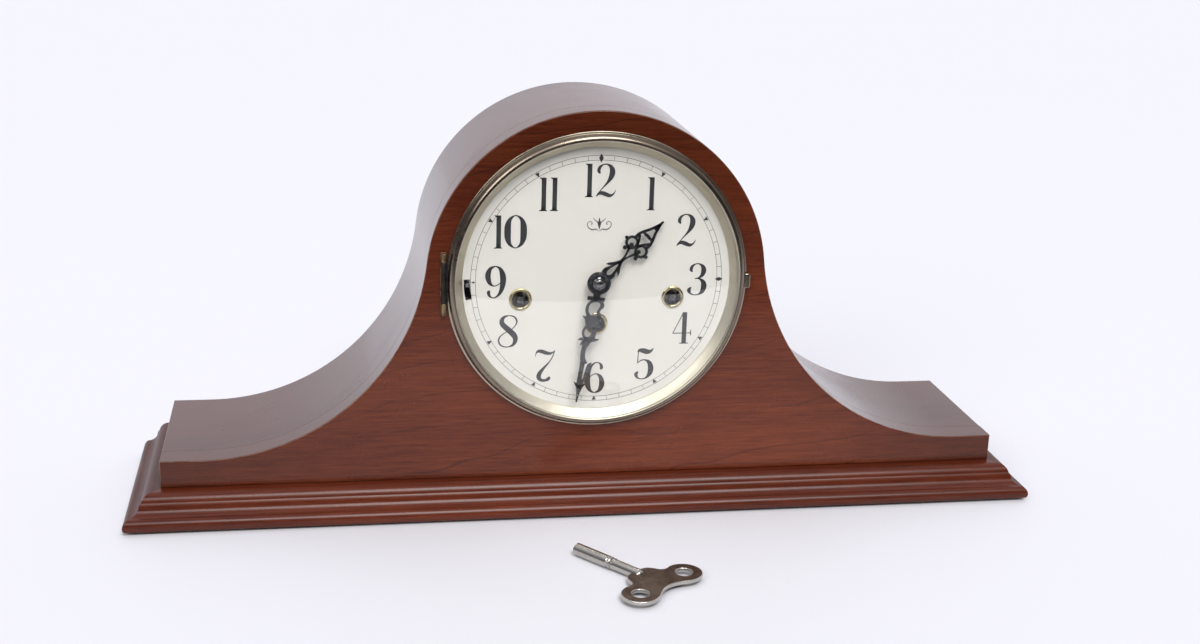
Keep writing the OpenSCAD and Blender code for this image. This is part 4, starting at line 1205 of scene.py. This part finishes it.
# One half of the hour hand, which is the same on both sides of its middle
HOUR_HALF = (
    ((1.6, 5.0, 3.4), (2.6, 7.6, 2.4), (2.0, 10.4, 1.5), (1.1, 13.4, 1.0), (0.2, 16.6, 1.3)),
    ((4.9, 10.2, 0.2), (3.6, 11.5, 1.5), (1.9, 13.6, 1.7), (0.5, 16.4, 1.3)),
    ((0.2, 16.0, 1.7), (0.3, 18.6, 1.3), (1.0, 21.6, 1.1), (2.2, 24.6, 1.4)),
    tuple((3.7 + 3.15 * math.sin(math.radians(turn)), 28.6 + 3.15 * math.cos(math.radians(turn)), 1.55)
          for turn in range(0, 361, 30)),
    ((1.9, 24.4, 1.5), (2.9, 25.4, 1.9), (3.2, 26.8, 2.0)),
    ((0.4, 29.4, 1.6), (1.9, 32.2, 1.3), (3.9, 34.6, 1.7)),
    ((4.2, 31.6, 2.0), (4.6, 34.4, 1.6), (3.5, 37.6, 1.6), (1.9, 41.0, 1.5), (0.7, 44.4, 1.5),
     (0.2, 47.0, 1.0)),
    ((3.4, 37.2, 1.4), (1.6, 37.0, 1.8), (0.0, 37.2, 1.9)),
)
HOUR_MIDDLE = ((0, 42.2, 1.6), (0, 44.5, 2.6), (0, 46.6, 1.7), (0, 49.0, 0.9))
HOUR_SPOTS = ((7.9, 28.4, 1.05), (4.4, 23.9, 1.2), (2.9, 27.6, 1.15))


def hand(strokes, spots, angle, front, back, rounding):
    """A stamped hand of overlapping strokes, turned to its place and rounded at its edges."""
    bm = new_shape()
    for path in strokes:
        add(bm, ribbon(path, 6))
    for u, v, radius in spots:
        add(bm, spot((u, v), radius))
    thicken(placed(bm, face_place(0, 0, angle)), front, back)
    soften(bm, rounding, 2, 50)
    return bm


class CLOCK_OT_hands(bpy.types.Operator):
    """Builds the two serpentine hands and the nut that holds them"""
    bl_idname = "clock.hands"
    bl_label = "Hands"

    def execute(self, context):
        size = context.scene.clock_hands
        front = (FACE - minute_low.y) / MM
        back = (FACE - minute_high.y) / MM
        bm = hand(MINUTE_STROKES, (), size.minute_angle, minute_low.y, minute_high.y,
                  size.edge_round)
        boss = ((1.3, back), (6.2, back), (6.6, back + 0.2), (6.6, front - 0.1), (6.2, front + 0.25),
                (5.6, front + 0.3), (5.2, front + 0.12), (4.0, front + 0.08), (3.6, front + 0.25),
                (1.3, front + 0.25))
        add(bm, turned(boss, 72))
        piece("minute_pointer", bm, "minute_arbor", "hand_lacquer",
              ["minute_hand"])

        both = [[(side * u, v, w) for u, v, w in path] for side in (-1, 1) for path in HOUR_HALF]
        spots = [(side * u, v, r) for side in (-1, 1) for u, v, r in HOUR_SPOTS]
        bm = hand(both + [HOUR_MIDDLE], spots, size.hour_angle, hour_low.y, hour_high.y,
                  size.edge_round)
        front = (FACE - hour_low.y) / MM
        back = (FACE - hour_high.y) / MM
        add(bm, turned(((3.2, back), (5.3, back), (5.6, back + 0.2), (5.6, front - 0.2), (5.3, front),
                        (3.2, front)), 64))
        piece("hour_pointer", bm, "hour_pipe", "hand_lacquer", ["hour_hand"])

        base = (FACE - nut_high.y) / MM
        top = (FACE - nut_low.y) / MM
        bm = turned(((1.25, base), (3.3, base), (3.4, base + 0.15), (3.4, base + 0.8),
                     (3.1, base + 1.0), (2.75, base + 1.05), (2.6, base + 1.3), (2.55, top - 1.0),
                     (2.35, top - 0.62), (2.0, top - 0.36), (1.5, top - 0.16), (0.8, top - 0.04),
                     (0.0, top), (0.0, top - 0.5), (1.25, top - 0.5)), 64)
        piece("centre_nut", bm, "minute_arbor", "blued_nut", ["hand_nut"])
        return {"FINISHED"}


# ---- Winding key ----

# Half of the wing's outline: (distance from the open end, distance to the side)
KEY_WING = ((40.9, 0), (41.2, 4.4), (42.4, 7.9), (45.6, 10.0), (48.9, 11.6), (50.2, 14.4),
            (49.7, 18.2), (51.2, 22.8), (54.9, 26.2), (59.6, 27.4), (64.4, 26.2), (68.1, 22.6),
            (69.5, 17.8), (68.6, 12.8), (66.3, 8.6), (64.6, 4.4), (64.0, 0))
WING_HOLE = 4.6
WING_HOLE_PLACE = (59.6, 17.5)
# Section of the shank: (distance from the open end, radius)
KEY_SHANK = ((0.0, 2.5), (0.0, 3.1), (0.3, 3.4), (22.4, 3.4), (22.9, 2.75), (23.5, 2.7), (23.9, 3.3),
             (24.3, 3.4), (24.8, 3.3), (25.2, 2.65), (25.8, 2.65), (26.3, 3.2), (26.9, 3.2),
             (27.3, 2.9), (43.2, 2.9), (44.6, 2.7), (45.5, 2.1), (45.95, 1.2), (46.0, 0.0))
SOCKET_HALF, SOCKET_DEEP = 1.9 * MM, 16 * MM


class CLOCK_OT_key(bpy.types.Operator):
    """Builds the winding key: a grooved socket shank in a flat two-lobed wing"""
    bl_idname = "clock.key"
    bl_label = "Winding key"

    def execute(self, context):
        place = Matrix.Translation(KEY_PLACE) @ Matrix.Rotation(KEY_TURN, 4, "Z")
        half = [(u, v, 0) for u, v in KEY_WING]
        loop = half + [(u, -v, 0) for u, v, _ in reversed(half[1:-1])]
        path = smooth_path(loop, 5, True)
        bm = joined(draw(path[0][:2], [(u, v) for u, v, _ in path[1:]]))
        for side in (-1, 1):
            add(bm, circle(WING_HOLE, (WING_HOLE_PLACE[0], side * WING_HOLE_PLACE[1]), 48))
        fill(bm)
        thicken(bm, -1 * MM, 1 * MM)
        soften(bm, 0.35 * MM, 2, 50)
        for face in bm.faces:
            face.normal_update()
            if abs(face.normal.y) < 0.8:
                face.material_index = 1
        flat = Matrix.Rotation(math.radians(-90), 4, "X")
        placed(bm, place @ flat)
        piece("key_wing", bm, "winding_key", "key_wing", second="key_nickel")

        shank = lathe([(u * MM, 0, r * MM) for u, r in KEY_SHANK], (0, 0, 0), (1, 0, 0), 48)
        bmesh.ops.remove_doubles(shank, verts=shank.verts, dist=1e-6)
        # Square socket at the open end
        rim = [edge for edge in shank.edges if edge.is_boundary]
        grown = bmesh.ops.extrude_edge_only(shank, edges=rim)["geom"]
        mouth = only(bmesh.types.BMVert, grown)
        for vert in mouth:
            y, z = vert.co.y, vert.co.z
            reach = SOCKET_HALF / max(abs(y), abs(z), 1e-9)
            vert.co = (0, y * reach, z * reach)
        inner = [edge for edge in shank.edges if edge.is_boundary]
        grown = bmesh.ops.extrude_edge_only(shank, edges=inner)["geom"]
        deep = only(bmesh.types.BMVert, grown)
        bmesh.ops.translate(shank, verts=deep, vec=(SOCKET_DEEP, 0, 0))
        bmesh.ops.edgeloop_fill(shank, edges=[edge for edge in shank.edges if edge.is_boundary])
        placed(shank, place)
        piece("key_shank", shank, "winding_key", "key_nickel", ["winding_key"])
        return {"FINISHED"}


# ---- Carried-over parts ----

# Nodes of the frame that keep their shape, by the finish that they get.
CARRIED_OVER = {
    "base_wood": "base_board",
    "felt": "base_felt",
    "hinge_brass": "door_leaves door_flaps door_button",
    "dial_enamel": "dial_plate",
    "wheel_brass": "hour_wheel centre_wheel minute_wheel pillars second_wheel "
        "third_wheel escape_wheel balance_wheel strike_wheel chime_wheel "
        "chime_drum hammer_1 hammer_2 hammer_3 hammer_4",
    "spring_steel": "cannon_pinion brackets strike_fly chime_fly hammer_bracket",
    "plate_brass": "front_plate back_plate balance_bridge",
    "bright_steel": "bracket_screws silent_lever",
    "barrel_brass": "time_barrel strike_barrel chime_barrel",
    "arbor_steel": "time_arbor strike_arbor chime_arbor",
    "blued_steel": "pallet_lever click_time click_strike click_chime",
    "rod_bronze": "chime_rods",
    "block_iron": "rod_block",
}


class CLOCK_OT_movement(bpy.types.Operator):
    """Gives the movement, the dial plate and the other carried-over parts their finishes"""
    bl_idname = "clock.movement"
    bl_label = "Movement finishes"

    def execute(self, context):
        for finish, nodes in CARRIED_OVER.items():
            for node in nodes.split():
                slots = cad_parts[node].data.materials
                slots.clear()
                slots.append(material(finish))
        return {"FINISHED"}


# ---- Studio ----

FLOOR_FRONT = -0.425                                 # the floor stops just outside the view
FLOOR_REACH = 6
# Lamps: the way to the lamp, its spread in degrees, its strength
LAMPS = {"key_light": ((0.15, -0.80, 1.0), 26, 2.05), "fill_light": ((-0.85, -1.0, 0.8), 30, 0.9)}
BACKDROP = (0.88, 0.885, 0.935, 1)
CAMERA_PLACE = (-0.1488, -0.8886, 0.3737)
CAMERA_TURN = (10.09, 17.03, 1.88)                   # to the right, down, and about its axis
CAMERA_LENS = 48.4

def aim(target, place):
    """The rotation of a lamp at place that shines on target."""
    return (Vector(target) - Vector(place)).to_track_quat("-Z", "Y").to_euler()


class CLOCK_OT_stage(bpy.types.Operator):
    """Builds the floor, the soft lights and the camera"""
    bl_idname = "clock.stage"
    bl_label = "Studio"

    def execute(self, context):
        bm = bmesh.new()
        bmesh.ops.create_grid(bm, x_segments=1, y_segments=1, size=1)
        for vert in bm.verts:
            back = vert.co.y > 0
            vert.co = (vert.co.x * FLOOR_REACH, FLOOR_REACH if back else FLOOR_FRONT, 0)
        mesh = bpy.data.meshes.new("floor")
        bm.to_mesh(mesh)
        bm.free()
        floor = bpy.data.objects.new("floor", mesh)
        context.scene.collection.objects.link(floor)
        mesh.materials.append(material("floor"))

        for name, (way, spread, strength) in LAMPS.items():
            data = bpy.data.lights.new(name, "SUN")
            data.angle = math.radians(spread)
            data.energy = strength
            lamp = bpy.data.objects.new(name, data)
            lamp.location = Vector(way) * 3
            lamp.rotation_euler = aim((0, 0, 0), way)
            context.scene.collection.objects.link(lamp)

        world = bpy.data.worlds.new("studio")
        world.use_nodes = True
        context.scene.world = world
        g = Graph(world.node_tree)
        way = g.add("SeparateXYZ", {0: g.add("TexCoord").outputs["Generated"]}).outputs
        # Soft light from behind and above, weaker from the left and dark in front
        room = g.span(way[1], -0.30, 0.45, 0.035, 0.85)
        room = g.math("ADD", room, g.span(way[2], 0.25, 0.85, 0.0, 0.34))
        room = g.math("MULTIPLY", room, g.span(way[0], -0.95, -0.5, 0.5, 1.0))
        soft = g.add("CombineColor", {0: g.math("MULTIPLY", room, 0.95),
                                      1: g.math("MULTIPLY", room, 0.94), 2: room}).outputs[0]
        seen = g.add("LightPath").outputs["Is Camera Ray"]
        back = world.node_tree.nodes["Background"]
        g.feed(back.inputs["Color"], g.blend(seen, soft, BACKDROP))
        back.inputs["Strength"].default_value = 1.0

        data = bpy.data.cameras.new("camera")
        data.lens = CAMERA_LENS
        data.sensor_width = 36
        data.clip_start = 0.01
        camera = bpy.data.objects.new("camera", data)
        yaw, pitch, roll = (math.radians(angle) for angle in CAMERA_TURN)
        ahead = Vector((math.sin(yaw) * math.cos(pitch), math.cos(yaw) * math.cos(pitch),
                        -math.sin(pitch)))
        right = Vector((math.cos(yaw), -math.sin(yaw), 0))
        up = right.cross(ahead)
        side = right * math.cos(roll) + up * math.sin(roll)
        over = up * math.cos(roll) - right * math.sin(roll)
        turned_to = Matrix((side, over, -ahead)).transposed().to_4x4()
        camera.matrix_world = Matrix.Translation(CAMERA_PLACE) @ turned_to
        context.scene.collection.objects.link(camera)
        context.scene.camera = camera
        context.scene.view_settings.view_transform = "Standard"
        context.scene.view_settings.look = "None"
        return {"FINISHED"}


OPERATORS = (CLOCK_OT_front_panel, CLOCK_OT_bent_top, CLOCK_OT_mouldings, CLOCK_OT_back,
             CLOCK_OT_bezel, CLOCK_OT_glass, CLOCK_OT_bezel_hinge, CLOCK_OT_dial_print,
             CLOCK_OT_grommets, CLOCK_OT_hands, CLOCK_OT_key, CLOCK_OT_movement, CLOCK_OT_stage)


class CLOCK_PT_panel(bpy.types.Panel):
    """Lists the steps that build the clock"""
    bl_idname = "CLOCK_PT_panel"
    bl_label = "Mantel Clock"
    bl_space_type = "VIEW_3D"
    bl_region_type = "UI"
    bl_category = "Mantel Clock"

    def draw(self, context):
        for operator in OPERATORS:
            self.layout.operator(operator.bl_idname)


GROUPS = (("clock_case", CaseSizes), ("clock_dial", DialSizes), ("clock_hands", HandSizes),
          ("clock_finishes", Finishes))


def register():
    """Registers the settings, the operators and the panel."""
    for name, group in GROUPS:
        bpy.utils.register_class(group)
        setattr(bpy.types.Scene, name, PointerProperty(type=group))
    for operator in OPERATORS:
        bpy.utils.register_class(operator)
    bpy.utils.register_class(CLOCK_PT_panel)


def unregister():
    """Removes the panel, the operators and the settings."""
    bpy.utils.unregister_class(CLOCK_PT_panel)
    for operator in reversed(OPERATORS):
        bpy.utils.unregister_class(operator)
    for name, group in reversed(GROUPS):
        delattr(bpy.types.Scene, name)
        bpy.utils.unregister_class(group)


def main():
    """Builds the whole clock."""
    register()
    for operator in OPERATORS:
        space, name = operator.bl_idname.split(".")
        getattr(getattr(bpy.ops, space), name)()


if __name__ == "__main__":
    main()
